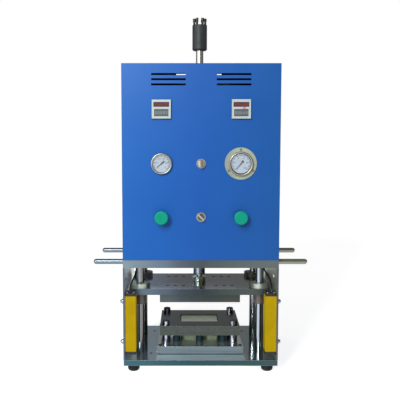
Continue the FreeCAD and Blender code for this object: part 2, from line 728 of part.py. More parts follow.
def curtain_caps():
    """End caps, a little smaller than the body they close."""
    caps = []
    inset = CURTAIN_CAP_INSET
    for side in (-1, 1):
        low, high = curtain_range(side)
        y_low = FRONT + CURTAIN_SETBACK
        for z_low, z_high in ((CURTAIN_TOP, CURTAIN_TOP + CURTAIN_CAP),
                              (CURTAIN_LOW - CURTAIN_CAP, CURTAIN_LOW)):
            cap = block(low + inset, high - inset, y_low + inset,
                        y_low + CURTAIN_DEPTH - inset, z_low, z_high)
            caps.append(cap.makeFillet(CURTAIN_EDGE, vertical_edges(cap)))
    return caps


# Leads of the light curtains: route points from the cap's top up to the gland
LEAD_FOOT = CURTAIN_TOP + CURTAIN_CAP
LEAD_END = TOP_LOW - LEAD_GLAND_HEIGHT
LEFT_LEAD = [
    V(-184, FRONT + 25, LEAD_FOOT),
    V(-184, FRONT + 25, LEAD_FOOT + 10),
    V(-180, FRONT + 28.5, LEAD_FOOT + 24),
    V(-172.5, FRONT + 35, LEAD_FOOT + 38),
    V(-167, FRONT + 40, LEAD_END - 10),
    V(-167, FRONT + 40, LEAD_END)]
RIGHT_LEAD = [
    V(185.5, FRONT + 25, LEAD_FOOT),
    V(185.5, FRONT + 25, LEAD_FOOT + 10),
    V(184.5, FRONT + 28, LEAD_FOOT + 22),
    V(181.5, FRONT + 32.5, LEAD_FOOT + 33.5),
    V(175.5, FRONT + 38, LEAD_FOOT + 43.5),
    V(167, FRONT + 43, LEAD_END - 9),
    V(167, FRONT + 43, LEAD_END)]


def lead_path(points):
    """Straight runs joined by tangent arcs, each as large as its two runs allow."""
    edges = []
    start = points[0]
    for before, corner, after in zip(points, points[1:], points[2:]):
        into = (corner - before).normalize()
        out = (after - corner).normalize()
        turn = into.getAngle(out)
        trim = 0.45 * min((corner - before).Length, (after - corner).Length)
        radius = trim / math.tan(turn / 2)
        bisector = (out - into).normalize()
        arc_start = corner - into * trim
        arc_end = corner + out * trim
        centre = corner + bisector * math.hypot(radius, trim)
        middle = centre - bisector * radius
        edges.append(Part.LineSegment(start, arc_start).toShape())
        edges.append(Part.Arc(arc_start, middle, arc_end).toShape())
        print("lead radius", round(radius, 1))
        start = arc_end
    edges.append(Part.LineSegment(start, points[-1]).toShape())
    return Part.Wire(edges)


def curtain_lead(points):
    path = lead_path(points)
    start = points[0]
    section = Part.Wire(Part.makeCircle(LEAD_RADIUS, start, points[1] - start))
    tube = path.makePipeShell([section], True, False)
    ideal = math.pi * LEAD_RADIUS ** 2 * path.Length
    print("lead length", round(path.Length, 1), "volume ratio", round(tube.Volume / ideal, 4))
    return tube


def lead_glands():
    """Glands under the top plate that the leads go into."""
    return [upright(LEAD_GLAND_RADIUS, points[-1].x, points[-1].y, LEAD_END, TOP_LOW)
            for points in (LEFT_LEAD, RIGHT_LEAD)]


export("base_plate", frame_plate(BASE_LOW, SIDE_LOW))
export("rubber_feet", *rubber_feet())
export("side_plate_left", side_plate(-1))
export("side_plate_right", side_plate(1))
export("side_cap_nuts", *cap_nuts())
export("guide_posts", *guide_posts())
export("top_plate", top_plate())
export("carry_bars", *carry_bars())
export("die_base", die_base())
export("guide_pins", *guide_pins())
export("die_springs", *die_springs())
export("forming_punch", forming_punch())
export("pressure_plate", pressure_plate())
export("upper_die", upper_die())
export("platen", platen())
export("platen_bushings", *platen_bushings())
export("rod_coupling", rod_coupling())
export("ram_rod", ram_rod())
export("stroke_rod", stroke_rod())
export("stroke_sleeve", stroke_sleeve())
export("sleeve_screws", *sleeve_screws())
export("cylinder_heads", *cylinder_heads())
export("cylinder_barrel", cylinder_barrel())
export("cylinder_tie_rods", *cylinder_tie_rods())
export("front_panel", front_panel())
export("cabinet_side_left", cabinet_side(-1))
export("cabinet_side_right", cabinet_side(1))
export("cabinet_rear", cabinet_rear())
export("cabinet_roof", cabinet_roof())
export("timer", panel_timer(-INSTRUMENT_X))
export("counter", panel_timer(INSTRUMENT_X))
export("small_gauge", gauge(-INSTRUMENT_X, SMALL_GAUGE_RADIUS, SMALL_GAUGE_PROUD))
export("large_gauge", large_gauge())
export("switch_collars", *switch_collars())
export("mode_knob", knob(GAUGE_LEVEL, 0))
export("power_knob", knob(SWITCH_LEVEL, -45))
export("button_collars", *button_collars())
export("start_button_left", start_button(-INSTRUMENT_X))
export("start_button_right", start_button(INSTRUMENT_X))
export("light_curtain_left", light_curtain(-1))
export("light_curtain_right", light_curtain(1))
export("curtain_caps", *curtain_caps())
export("curtain_lead_left", curtain_lead(LEFT_LEAD))
export("curtain_lead_right", curtain_lead(RIGHT_LEAD))
export("lead_glands", *lead_glands())
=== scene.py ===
"""Looks of a pouch cell forming machine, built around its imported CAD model. Lengths are metres."""

import json
import math

import bmesh
import bpy
from mathutils import Matrix, Vector


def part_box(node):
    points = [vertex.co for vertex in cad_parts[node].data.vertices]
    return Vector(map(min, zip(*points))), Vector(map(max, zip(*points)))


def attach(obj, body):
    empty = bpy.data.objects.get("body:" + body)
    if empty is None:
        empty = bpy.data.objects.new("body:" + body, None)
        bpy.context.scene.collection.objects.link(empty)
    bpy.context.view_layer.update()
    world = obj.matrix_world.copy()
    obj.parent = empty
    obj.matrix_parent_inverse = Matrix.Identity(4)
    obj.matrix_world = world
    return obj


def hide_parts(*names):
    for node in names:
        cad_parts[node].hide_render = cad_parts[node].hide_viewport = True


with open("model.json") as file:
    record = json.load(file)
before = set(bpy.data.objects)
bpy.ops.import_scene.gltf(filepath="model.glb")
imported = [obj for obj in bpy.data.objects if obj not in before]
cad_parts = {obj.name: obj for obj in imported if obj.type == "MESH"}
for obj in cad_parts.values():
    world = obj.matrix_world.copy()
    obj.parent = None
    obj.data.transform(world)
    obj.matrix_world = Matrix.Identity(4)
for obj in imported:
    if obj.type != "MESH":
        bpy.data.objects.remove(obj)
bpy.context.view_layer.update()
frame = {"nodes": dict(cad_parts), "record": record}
NODES = frame["nodes"]
BODY_OF = {
    node: body
    for body, members in frame["record"]["behaviour"]["bodies"].items()
    for node in members
}
SLOT_OF = {node: NODES[node].material_slots[0].name for node in NODES}
MM = 0.001
IOR = 1.5
GLASS_ALPHA = 0.14
NUMBER_RELIEF = 0.06 * MM
BEVEL_ANGLE = 32.0
SMALL_SCREW_ANGLE = 40.0
SCREW_SINK = 0.1 * MM
# Half width in mm over which the painted light and shade stops are spread
LIGHT_STOPS_HALF_WIDTH = 200.0
NOISE_LOW, NOISE_HIGH = 0.32, 0.68
MERGE_DISTANCE = 0.01 * MM
FLAT_ANGLE = math.radians(0.8)
FACING = 0.9

# Camera

camera = bpy.data.objects.new("camera", bpy.data.cameras.new("camera"))
bpy.context.scene.collection.objects.link(camera)
camera.data.sensor_width = 36.0
camera.data.lens = 60.171
camera.data.shift_x = 0.043861
camera.data.shift_y = 0.019858
camera.location = (-0.047075, -1.845754, 0.583596)
CAMERA_PITCH = 0.090198
camera.rotation_euler = (math.pi / 2 - CAMERA_PITCH, 0.0, 0.0)
bpy.context.scene.camera = camera
bpy.context.scene.view_settings.view_transform = "Standard"


# Helpers

def linear(rgb):
    """sRGB 0 to 255 as linear 0 to 1, with alpha."""
    out = []
    for c in rgb:
        c = c / 255.0
        out.append(c / 12.92 if c <= 0.04045 else ((c + 0.055) / 1.055) ** 2.4)
    return (*out, 1.0)


def scaled(colour, k):
    return (*(min(1.0, c * k) for c in colour[:3]), 1.0)


def noise(tree, coords, scale, detail):
    node = tree.nodes.new("ShaderNodeTexNoise")
    node.inputs["Scale"].default_value = scale
    node.inputs["Detail"].default_value = detail
    tree.links.new(coords, node.inputs["Vector"])
    return node.outputs["Fac"]


def ramped(tree, value, start, end, low=0.0, high=1.0, kind="LINEAR"):
    """Maps a value from start to end onto low to high."""
    node = tree.nodes.new("ShaderNodeMapRange")
    node.interpolation_type = kind
    for key, level in (("From Min", start), ("From Max", end), ("To Min", low), ("To Max", high)):
        node.inputs[key].default_value = level
    tree.links.new(value, node.inputs["Value"])
    return node.outputs[0]


def combined(tree, operation, first, second):
    """A math operation on two sockets."""
    node = tree.nodes.new("ShaderNodeMath")
    node.operation = operation
    tree.links.new(first, node.inputs[0])
    tree.links.new(second, node.inputs[1])
    return node.outputs[0]


def surface(name, colour, rough, metal=0.0, coat=0.0, coat_rough=0.08, vary=0.12, vary_scale=28.0,
            grain=None, grain_share=0.5, rough_vary=0.2, bump=0.0, bump_scale=900.0,
            bump_depth=0.0002, spec=0.5):
    """A procedural material: colour and roughness varied by soft blotches and a directional grain.

    colour is an sRGB triple, or a list of (x in mm, sRGB triple) stops that paint light and shade,
    highlights and reflections onto a wide part from left to right.
    """
    mat = bpy.data.materials.new(name)
    mat.use_nodes = True
    tree = mat.node_tree
    tree.nodes.clear()
    new, link = tree.nodes.new, tree.links.new
    out = new("ShaderNodeOutputMaterial")
    shader = new("ShaderNodeBsdfPrincipled")
    link(shader.outputs[0], out.inputs[0])
    shader.inputs["Metallic"].default_value = metal
    shader.inputs["IOR"].default_value = IOR
    shader.inputs["Specular IOR Level"].default_value = spec
    shader.inputs["Coat Weight"].default_value = coat
    shader.inputs["Coat Roughness"].default_value = coat_rough
    coords = new("ShaderNodeTexCoord").outputs["Object"]
    factor = noise(tree, coords, vary_scale, 5.0)
    if grain:
        stretch = new("ShaderNodeMapping")
        stretch.inputs["Scale"].default_value = grain
        link(coords, stretch.inputs["Vector"])
        both = new("ShaderNodeMix")
        both.inputs[0].default_value = grain_share
        link(factor, both.inputs[2])
        link(noise(tree, stretch.outputs[0], 1.0, 4.0), both.inputs[3])
        factor = both.outputs[0]
    spread = ramped(tree, factor, NOISE_LOW, NOISE_HIGH)
    light_stops = isinstance(colour[0], tuple)
    light = (1.0, 1.0, 1.0, 1.0) if light_stops else scaled(linear(colour), 1 + vary)
    dark = scaled((1.0, 1.0, 1.0) if light_stops else linear(colour), 1 - vary)
    tint = new("ShaderNodeMix")
    tint.data_type = "RGBA"
    tint.inputs[6].default_value = dark
    tint.inputs[7].default_value = light
    link(spread, tint.inputs[0])
    tinted = tint.outputs[2]
    # Painted light: the stops multiply the colour along x into highlights, reflections and shade
    if light_stops:
        split = new("ShaderNodeSeparateXYZ")
        link(coords, split.inputs[0])
        along = ramped(tree, split.outputs["X"], -LIGHT_STOPS_HALF_WIDTH * MM, LIGHT_STOPS_HALF_WIDTH * MM)
        ramp = new("ShaderNodeValToRGB")
        stops = ramp.color_ramp.elements
        while len(stops) < len(colour):
            stops.new(0.5)
        for stop, (x, shade) in zip(stops, colour):
            stop.position = (x / LIGHT_STOPS_HALF_WIDTH + 1) / 2
            stop.color = linear(shade)
        link(along, ramp.inputs["Fac"])
        product = new("ShaderNodeMix")
        product.data_type = "RGBA"
        product.blend_type = "MULTIPLY"
        product.inputs[0].default_value = 1.0
        link(ramp.outputs["Color"], product.inputs[6])
        link(tinted, product.inputs[7])
        tinted = product.outputs[2]
    link(tinted, shader.inputs["Base Color"])
    gloss = ramped(tree, spread, 0.0, 1.0, rough * (1 - rough_vary),
                   min(1.0, rough * (1 + rough_vary)))
    link(gloss, shader.inputs["Roughness"])
    if bump:
        relief = new("ShaderNodeBump")
        relief.inputs["Strength"].default_value = bump
        relief.inputs["Distance"].default_value = bump_depth
        link(noise(tree, coords, bump_scale, 3.0), relief.inputs["Height"])
        link(relief.outputs[0], shader.inputs["Normal"])
    return mat


def shader_of(mat):
    return next(node for node in mat.node_tree.nodes if node.type == "BSDF_PRINCIPLED")


def emissive(name, rgb, strength):
    mat = surface(name, rgb, 0.3, vary=0.05)
    shader = shader_of(mat)
    shader.inputs["Emission Color"].default_value = linear(rgb)
    shader.inputs["Emission Strength"].default_value = strength
    return mat


def glass(name):
    """A thin clear cover: mostly let through, with its gloss kept."""
    mat = surface(name, (255, 255, 255), 0.02, vary=0.02, vary_scale=12.0)
    shader_of(mat).inputs["Alpha"].default_value = GLASS_ALPHA
    return mat


def add_object(name, mesh, like, *materials):
    """A piece with the body of the node that it is like."""
    body, slot = BODY_OF[like], SLOT_OF[like]
    obj = bpy.data.objects.new(name, mesh)
    bpy.context.scene.collection.objects.link(obj)
    if mesh.materials:
        mesh.materials.clear()
    for mat in materials:
        mesh.materials.append(mat)
    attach(obj, body)
    return obj


def bevel(obj, width, segments, angle=BEVEL_ANGLE, edge_material=-1):
    """Rounds the object's sharp edges and bakes the result into its mesh."""
    mod = obj.modifiers.new("edges", "BEVEL")
    mod.width = width
    mod.segments = segments
    mod.limit_method = "ANGLE"
    mod.angle_limit = math.radians(angle)
    mod.harden_normals = True
    mod.material = edge_material
    mod.use_clamp_overlap = True
    obj.data.shade_smooth()
    weigh = obj.modifiers.new("shading", "WEIGHTED_NORMAL")
    weigh.weight = 100
    weigh.keep_sharp = False
    bake(obj)


def scaled_profile(pairs):
    """Pairs in mm as pairs in metres."""
    return [(first * MM, second * MM) for first, second in pairs]


def bake(obj):
    bpy.context.view_layer.update()
    graph = bpy.context.evaluated_depsgraph_get()
    made = bpy.data.meshes.new_from_object(obj.evaluated_get(graph))
    obj.modifiers.clear()
    obj.data = made


def dress(node, *materials, width=0.6 * MM, segments=2, pick=None, edge=-1):
    """A bevelled copy of a CAD node, which it then stands for."""
    mesh = NODES[node].data.copy()
    work = bmesh.new()
    work.from_mesh(mesh)
    bmesh.ops.remove_doubles(work, verts=work.verts, dist=MERGE_DISTANCE)
    bmesh.ops.dissolve_limit(work, angle_limit=FLAT_ANGLE, verts=work.verts, edges=work.edges)
    work.to_mesh(mesh)
    work.free()
    if "custom_normal" in mesh.attributes:
        mesh.attributes.remove(mesh.attributes["custom_normal"])
    obj = add_object(node + "_finish", mesh, node, *materials)
    for face in mesh.polygons:
        face.material_index = pick(face.center, face.normal) if pick else 0
    if width:
        bevel(obj, width, segments, edge_material=edge)
    else:
        mesh.shade_smooth()
    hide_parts(node)
    return obj


def from_bmesh(name, work, like, *materials, width=0.0, segments=2, angle=BEVEL_ANGLE):
    """A piece made of the faces in work, which is used up."""
    mesh = bpy.data.meshes.new(name)
    bmesh.ops.remove_doubles(work, verts=work.verts, dist=MERGE_DISTANCE / 10)
    bmesh.ops.recalc_face_normals(work, faces=work.faces)
    work.to_mesh(mesh)
    work.free()
    obj = add_object(name, mesh, like, *materials)
    if width:
        bevel(obj, width, segments, angle)
    else:
        mesh.shade_smooth()
    return obj


def frame_along(origin, axis):
    """A transform whose z axis is the given direction."""
    return Matrix.Translation(origin) @ Vector(axis).to_track_quat("Z", "Y").to_matrix().to_4x4()


def turn(work, profile, origin, axis, steps, material=0):
    """Adds a turned form: profile is (radius, height) pairs along the axis. Closes on radius 0."""
    place = frame_along(origin, axis)
    rings = []
    for radius, height in profile:
        if radius <= 1e-7:
            rings.append([work.verts.new(place @ Vector((0, 0, height)))])
        else:
            rings.append([
                work.verts.new(place @ Vector((
                    radius * math.cos(2 * math.pi * i / steps),
                    radius * math.sin(2 * math.pi * i / steps), height)))
                for i in range(steps)])
    for low, high in zip(rings, rings[1:]):
        for i in range(steps):
            j = (i + 1) % steps
            if len(low) == 1:
                corners = (low[0], high[j], high[i])
            elif len(high) == 1:
                corners = (low[i], low[j], high[0])
            else:
                corners = (low[i], low[j], high[j], high[i])
            work.faces.new(corners).material_index = material


def slab(work, low, high, material=0, place=Matrix.Identity(4)):
    """Adds a box between two corners."""
    points = [
        work.verts.new(place @ Vector((x, y, z)))
        for x in (low[0], high[0]) for y in (low[1], high[1]) for z in (low[2], high[2])]
    for quad in ((0, 1, 3, 2), (4, 6, 7, 5), (0, 4, 5, 1), (2, 3, 7, 6), (0, 2, 6, 4),
                 (1, 5, 7, 3)):
        work.faces.new([points[k] for k in quad]).material_index = material


def block(work, low, high, place, material=0):
    """Adds a box between two corners in mm of place."""
    slab(work, [c * MM for c in low], [c * MM for c in high], material, place)


def prism(work, outline, low, high, place):
    """Adds an upright prism of an (x, y) outline between two heights of place."""
    bottom = [work.verts.new(place @ Vector((x, y, low))) for x, y in outline]
    top = [work.verts.new(place @ Vector((x, y, high))) for x, y in outline]
    work.faces.new(bottom[::-1])
    work.faces.new(top)
    for i in range(len(outline)):
        j = (i + 1) % len(outline)
        work.faces.new((bottom[i], bottom[j], top[j], top[i]))


def socket_screw(work, origin, axis, radius, height):
    """Adds a screw head with a hexagonal recess."""
    steps = 24
    sector_angle = math.pi / 3
    crown = radius * 0.86
    recess = radius * 0.48
    turn(work, [(radius * 0.98, 0), (radius, height * 0.1), (radius, height * 0.78),
                (crown, height)], origin, axis, steps)
    place = frame_along(origin, axis)
    rim, lip, floor = [], [], []
    for i in range(steps):
        angle = 2 * math.pi * i / steps
        reach = recess * math.cos(sector_angle / 2) / math.cos(
            angle % sector_angle - sector_angle / 2)
        for ring, distance, level in ((rim, crown, height), (lip, reach, height),
                                      (floor, reach, height * 0.35)):
            ring.append(work.verts.new(place @ Vector((
                distance * math.cos(angle), distance * math.sin(angle), level))))
    for i in range(steps):
        j = (i + 1) % steps
        work.faces.new((rim[i], rim[j], lip[j], lip[i]))
        work.faces.new((lip[i], lip[j], floor[j], floor[i]))
    work.faces.new(floor)


def screws(name, like, spots, axis, radius, height, mat, **edges):
    """A piece of equal screws, whose heads stand on the given spots of a face."""
    work = bmesh.new()
    for spot in spots:
        socket_screw(work, Vector(spot) - Vector(axis) * SCREW_SINK, axis, radius * MM, height * MM)
    from_bmesh(name, work, like, mat, **edges)


def words(work, text, size, place):
    """Adds numbers as a thin relief in the x-y plane of place."""
    curve = bpy.data.curves.new("number", "FONT")
    curve.body = text
    curve.size = size
    curve.extrude = NUMBER_RELIEF
    curve.resolution_u = 3
    curve.align_x = "CENTER"
    curve.align_y = "CENTER"
    holder = bpy.data.objects.new("number", curve)
    bpy.context.scene.collection.objects.link(holder)
    bpy.context.view_layer.update()
    mesh = bpy.data.meshes.new_from_object(
        holder.evaluated_get(bpy.context.evaluated_depsgraph_get()))
    bpy.data.objects.remove(holder)
    mesh.transform(place)
    work.from_mesh(mesh)
    bpy.data.meshes.remove(mesh)


# Cords

cable_jacket = surface("cable_jacket", (12, 12, 14), 0.6, vary=0.25, vary_scale=120.0,
                       bump=0.2, bump_scale=1500.0, bump_depth=0.0001, spec=0.15)
LEAD_RADIUS = 2.1 * MM
LEFT_LEAD = [(-184, -130, 209), (-184, -130, 219), (-180, -126.5, 233), (-172.5, -120, 247),
             (-167, -115, 263), (-167, -115, 273)]
RIGHT_LEAD = [(185.5, -130, 209), (185.5, -130, 219), (184.5, -127, 231), (181.5, -122.5, 242.5),
              (175.5, -117, 252.5), (167, -112, 264), (167, -112, 273)]


def lead(name, node, route):
    """A sensor cable from the light curtain's cap up to its gland in the top plate."""
    curve = bpy.data.curves.new(name, "CURVE")
    curve.dimensions = "3D"
    curve.bevel_depth = LEAD_RADIUS
    curve.bevel_resolution = 6
    curve.resolution_u = 24
    curve.use_fill_caps = True
    spline = curve.splines.new("NURBS")
    spline.points.add(len(route) - 1)
    for point, spot in zip(spline.points, route):
        point.co = (*(Vector(spot) * MM), 1.0)
    spline.order_u = 3
    spline.use_endpoint_u = True
    obj = bpy.data.objects.new(name, curve)
    bpy.context.scene.collection.objects.link(obj)
    curve.materials.append(cable_jacket)
    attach(obj, BODY_OF[node])
    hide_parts(node)


lead("lead_left", "curtain_lead_left", LEFT_LEAD)
lead("lead_right", "curtain_lead_right", RIGHT_LEAD)

# Materials

GRAIN_X = (7.0, 420.0, 420.0)
# Blue paint with painted light: lighter and more cyan on the left, darker to the right, as if lit
# from the left
blue_paint_painted_light = surface("blue_enamel",
                     [(-200, (10, 103, 194)), (-110, (7, 98, 189)), (0, (5, 91, 182)),
                      (110, (8, 90, 174)), (200, (12, 90, 168))], 0.42, coat=0.22, coat_rough=0.36,
                     vary=0.05, vary_scale=7.0, rough_vary=0.1, bump=0.1, bump_scale=520.0,
                     bump_depth=0.00008, spec=0.25)
blue_edge = surface("blue_enamel_edge", (14, 40, 96), 0.4, coat=0.2, vary=0.16, vary_scale=160.0)
# Painted shade inside the closed cabinet
inside_painted_shade = surface("cabinet_inside_painted_shade", (38, 44, 52), 0.7, vary=0.2)
# Painted light and shade on the top plate's front: lighter and bluer on the left, darkest near the
# middle
top_front_painted_light = surface("top_plate_front_painted_light",
                    [(-190, (139, 159, 169)), (-142, (125, 139, 149)), (-107, (113, 131, 147)),
                     (-55, (94, 103, 116)), (0, (78, 87, 91)), (69, (93, 104, 104)),
                     (139, (104, 114, 114))], 0.34, metal=0.6, vary=0.16, vary_scale=26.0,
                    grain=GRAIN_X, grain_share=0.5)
# Painted reflection on the ground tops: a bright band where the die base is mirrored, bluish at the
# left end, darker at the right end
ground_top_painted_reflection = surface("ground_plate_top_painted_reflection",
                     [(-150, (216, 242, 255)), (-119, (206, 232, 255)), (-116, (244, 252, 255)),
                      (115, (248, 252, 255)), (118, (171, 186, 188)), (150, (163, 177, 180))], 0.1,
                     metal=0.9, vary=0.1, vary_scale=30.0, grain=GRAIN_X, grain_share=0.5,
                     rough_vary=0.4)
# Bevelled edges of the ground plates in a lighter steel: partly polish, partly a painted edge
# highlight
ground_edge_polish_and_highlight = surface("ground_plate_edge", (150, 160, 166), 0.3, metal=0.7, vary=0.2,
                      vary_scale=220.0)
# Painted light and shade on the platen's edges: lighter on the left, darkest just right of the
# middle
platen_front_painted_light = surface("platen_edge_painted_light",
                       [(-140, (102, 118, 130)), (-82, (84, 96, 111)), (-52, (63, 74, 87)),
                        (9, (49, 59, 66)), (69, (67, 79, 78)), (140, (79, 88, 87))], 0.32,
                       metal=0.6, vary=0.16, vary_scale=30.0, grain=GRAIN_X, grain_share=0.5)
# Painted reflection on the platen's face: very light and blue on the left, darker towards the middle
# and right
platen_top_painted_reflection = surface("platen_face",
                     [(-150, (188, 210, 244)), (-100, (142, 168, 204)), (-65, (121, 137, 156)),
                      (-30, (103, 118, 136)), (40, (112, 122, 130)), (100, (121, 130, 130))], 0.14,
                     metal=0.9, vary=0.12, vary_scale=26.0, grain=GRAIN_X, grain_share=0.5,
                     rough_vary=0.4)
# Painted light and shade on the base plate's edges: lighter at the left end, darkest right of the
# middle
base_front = surface("base_plate_edge_painted_light",
                     [(-190, (62, 108, 120)), (-107, (54, 97, 110)), (-37, (44, 85, 95)),
                      (24, (42, 81, 89)), (104, (50, 86, 89)), (190, (57, 86, 89))], 0.32,
                     metal=0.5, vary=0.16, vary_scale=18.0, grain=GRAIN_X, grain_share=0.5)
# Painted light and shade on the upper die's front: lighter on the left, darker to the right
die_front_painted_light = surface("upper_die_front",
                    [(-82, (90, 101, 104)), (-52, (77, 84, 88)), (-20, (66, 76, 77)),
                     (34, (63, 70, 68)), (80, (73, 78, 73))], 0.36, metal=0.6, vary=0.2,
                    vary_scale=90.0, grain=GRAIN_X, grain_share=0.5)
press_front = surface("pressure_plate_front", (78, 84, 79), 0.38, metal=0.6, vary=0.24,
                      vary_scale=90.0, grain=GRAIN_X, grain_share=0.5)
# Painted light on the die plates' tops: lighter and bluer at the left end
die_top_painted_light = surface("die_plate_top_painted_light",
                  [(-90, (102, 112, 124)), (-40, (84, 88, 90)), (90, (85, 89, 89))], 0.18,
                  metal=0.85, vary=0.12, vary_scale=50.0, grain=GRAIN_X, grain_share=0.6,
                  rough_vary=0.3)
die_base_front = surface("die_base_front", (125, 140, 146), 0.32, metal=0.4, vary=0.12,
                         vary_scale=16.0, grain=GRAIN_X, grain_share=0.7)
gap_shadow_strip = surface("die_base_painted_gap_shadow", (44, 62, 76), 0.6, vary=0.15, vary_scale=60.0, spec=0.1)
# Painted light on the forming punch: its top near white as if lit, its sides a darker olive
punch_steel_painted_light = surface("punch_steel_painted_light", (238, 252, 224), 0.3, metal=0.3, vary=0.1, vary_scale=40.0,
                      grain=GRAIN_X, grain_share=0.5)
punch_side = surface("punch_steel_side", (158, 171, 139), 0.4, metal=0.15, vary=0.1,
                     vary_scale=30.0, grain=GRAIN_X, grain_share=0.5)
# Painted shade for the insides and chamfers of the tapped holes
hole_painted_shade = surface("tapped_holes_painted_shade", (8, 9, 12), 0.8, vary=0.3, vary_scale=500.0, spec=0.05)
# Guide post chrome with painted highlight streaks: a narrow bright band on each post, browner and
# darker beside it
chrome = surface("hard_chrome_painted_streaks",
                 [(-172, (142, 147, 150)), (-166.5, (136, 141, 144)), (-165.3, (180, 188, 200)),
                  (-161.8, (180, 188, 200)), (-160.5, (134, 133, 132)), (-150, (120, 113, 107)),
                  (150, (116, 124, 128)), (154, (126, 134, 140)), (155.2, (190, 200, 214)),
                  (158.6, (190, 200, 214)), (159.8, (122, 126, 126)), (172, (98, 98, 94))], 0.15,
                 metal=0.95, vary=0.07, vary_scale=40.0, grain=(300.0, 300.0, 6.0),
                 grain_share=0.4, rough_vary=0.3)
# Painted highlight on the stroke rod: a bright band just left of its axis, darker to either side
rod_chrome_painted_highlight = surface("rod_chrome_painted_highlight",
                     [(-10, (150, 124, 120)), (-7, (168, 146, 142)), (-6, (218, 218, 218)),
                      (-0.5, (222, 220, 216)), (1, (176, 174, 154)), (10, (158, 154, 132))], 0.3,
                     metal=0.75, vary=0.1, vary_scale=60.0, grain=(300.0, 300.0, 6.0),
                     grain_share=0.4)
bright_steel = surface("turned_steel", (160, 168, 170), 0.24, metal=0.85, vary=0.12,
                       vary_scale=200.0, grain=(120.0, 120.0, 900.0), grain_share=0.4)
# Painted highlights and shade on the bushings: bright patches on the outer flanges, dark brown
# towards the middle
bushing_steel_painted_light = surface("bushing_steel_painted_light",
                        [(-188, (178, 188, 178)), (-158, (206, 214, 196)), (-147, (196, 204, 186)),
                         (-141, (104, 88, 80)), (134, (112, 110, 98)), (141, (156, 160, 146)),
                         (148, (208, 218, 202)), (158, (204, 212, 198)), (168, (138, 142, 132)),
                         (188, (116, 120, 110))], 0.34, metal=0.35, vary=0.14, vary_scale=90.0,
                        grain=(80.0, 80.0, 900.0), grain_share=0.5)
# Painted shade: a brown, darker copy of the bushing steel for the rear bushings and the sleeves
bushing_painted_shade = surface("bushing_sleeve_painted_shade", (112, 101, 95), 0.4, metal=0.35, vary=0.16,
                        vary_scale=90.0, grain=(80.0, 80.0, 900.0), grain_share=0.5)
# Painted highlight streaks on the guide pins: a narrow bright band on each pin, dark beside it
pin_steel_painted_streaks = surface("pin_steel_painted_streaks",
                    [(-102, (66, 66, 74)), (-95.5, (74, 76, 86)), (-94, (208, 214, 236)),
                     (-90.5, (208, 214, 236)), (-89, (96, 98, 94)), (-82, (70, 68, 64)),
                     (82, (70, 70, 84)), (83.5, (208, 214, 236)), (88, (208, 214, 236)),
                     (89.5, (78, 84, 84)), (102, (70, 70, 68))], 0.2, metal=0.85, vary=0.1,
                    vary_scale=90.0, grain=(120.0, 120.0, 900.0), grain_share=0.4)
# Painted highlight on the rod coupling: white on its left third, darker olive to the right
coupling_steel_painted_highlight = surface("coupling_steel_painted_highlight",
                         [(-18, (255, 255, 255)), (-9, (240, 255, 246)), (-5, (200, 214, 198)),
                          (-2, (140, 146, 130)), (18, (150, 152, 134))], 0.25, metal=0.9, vary=0.1,
                         vary_scale=90.0)
# Painted highlight on the ram rod: a bright bluish band left of its axis, dark to the right
ram_steel_painted_highlight = surface("ram_steel_painted_highlight",
                    [(-15, (150, 158, 170)), (-12, (210, 222, 250)), (-3, (196, 208, 236)),
                     (0, (100, 102, 96)), (16, (76, 78, 70))], 0.28, metal=0.9, vary=0.1,
                    vary_scale=90.0)
# Painted light on the carry bars: cooler and darker on the left, warmer and lighter on the right
bar_steel_painted_light = surface("handle_steel_painted_light",
                    [(-200, (131, 141, 150)), (200, (148, 153, 138))], 0.22, metal=0.85, vary=0.1,
                    vary_scale=120.0, grain=(9.0, 400.0, 400.0), grain_share=0.5)
pale_screw = surface("nickel_screws", (236, 240, 228), 0.35, metal=0.3, vary=0.1, vary_scale=400.0)
zinc = surface("plated_screws", (176, 178, 176), 0.28, metal=1.0, vary=0.2, vary_scale=400.0)
rubber = surface("foot_rubber", (14, 18, 20), 0.6, vary=0.25, vary_scale=180.0, bump=0.3,
                 bump_scale=1400.0, bump_depth=0.0002, spec=0.3)
spring_rubber = surface("spring_elastomer", (12, 44, 48), 0.55, vary=0.25, vary_scale=120.0,
                        spec=0.3, bump=0.15, bump_scale=800.0)
cast_aluminium = surface("cylinder_aluminium", (128, 131, 134), 0.45, metal=0.7, vary=0.12,
                         vary_scale=70.0, bump=0.2, bump_scale=900.0)
yellow_paint = surface("yellow_powder_coat", (198, 163, 0), 0.5, vary=0.07, vary_scale=30.0,
                       bump=0.2, bump_scale=1300.0, bump_depth=0.0001, spec=0.12)
black_plastic = surface("black_plastic", (26, 27, 30), 0.42, vary=0.25, vary_scale=260.0, bump=0.2,
                        bump_scale=1800.0, bump_depth=0.0001)
bezel_plastic = surface("bezel_plastic", (197, 206, 201), 0.46, vary=0.05, vary_scale=90.0,
                        bump=0.15, bump_scale=2400.0, bump_depth=0.00006)
# Painted shade for the chamfers and sides of the bezels
bezel_edge_painted_shade = surface("bezel_edge_painted_shade", (62, 90, 126), 0.5, vary=0.05, vary_scale=90.0)
green_plastic = surface("green_button", (0, 161, 132), 0.45, coat=0.03, coat_rough=0.35, vary=0.07,
                        vary_scale=60.0, bump=0.08, bump_scale=900.0, bump_depth=0.0001,
                        spec=0.2)
gauge_steel = surface("gauge_rim", (172, 168, 158), 0.3, metal=1.0, vary=0.06, vary_scale=90.0)
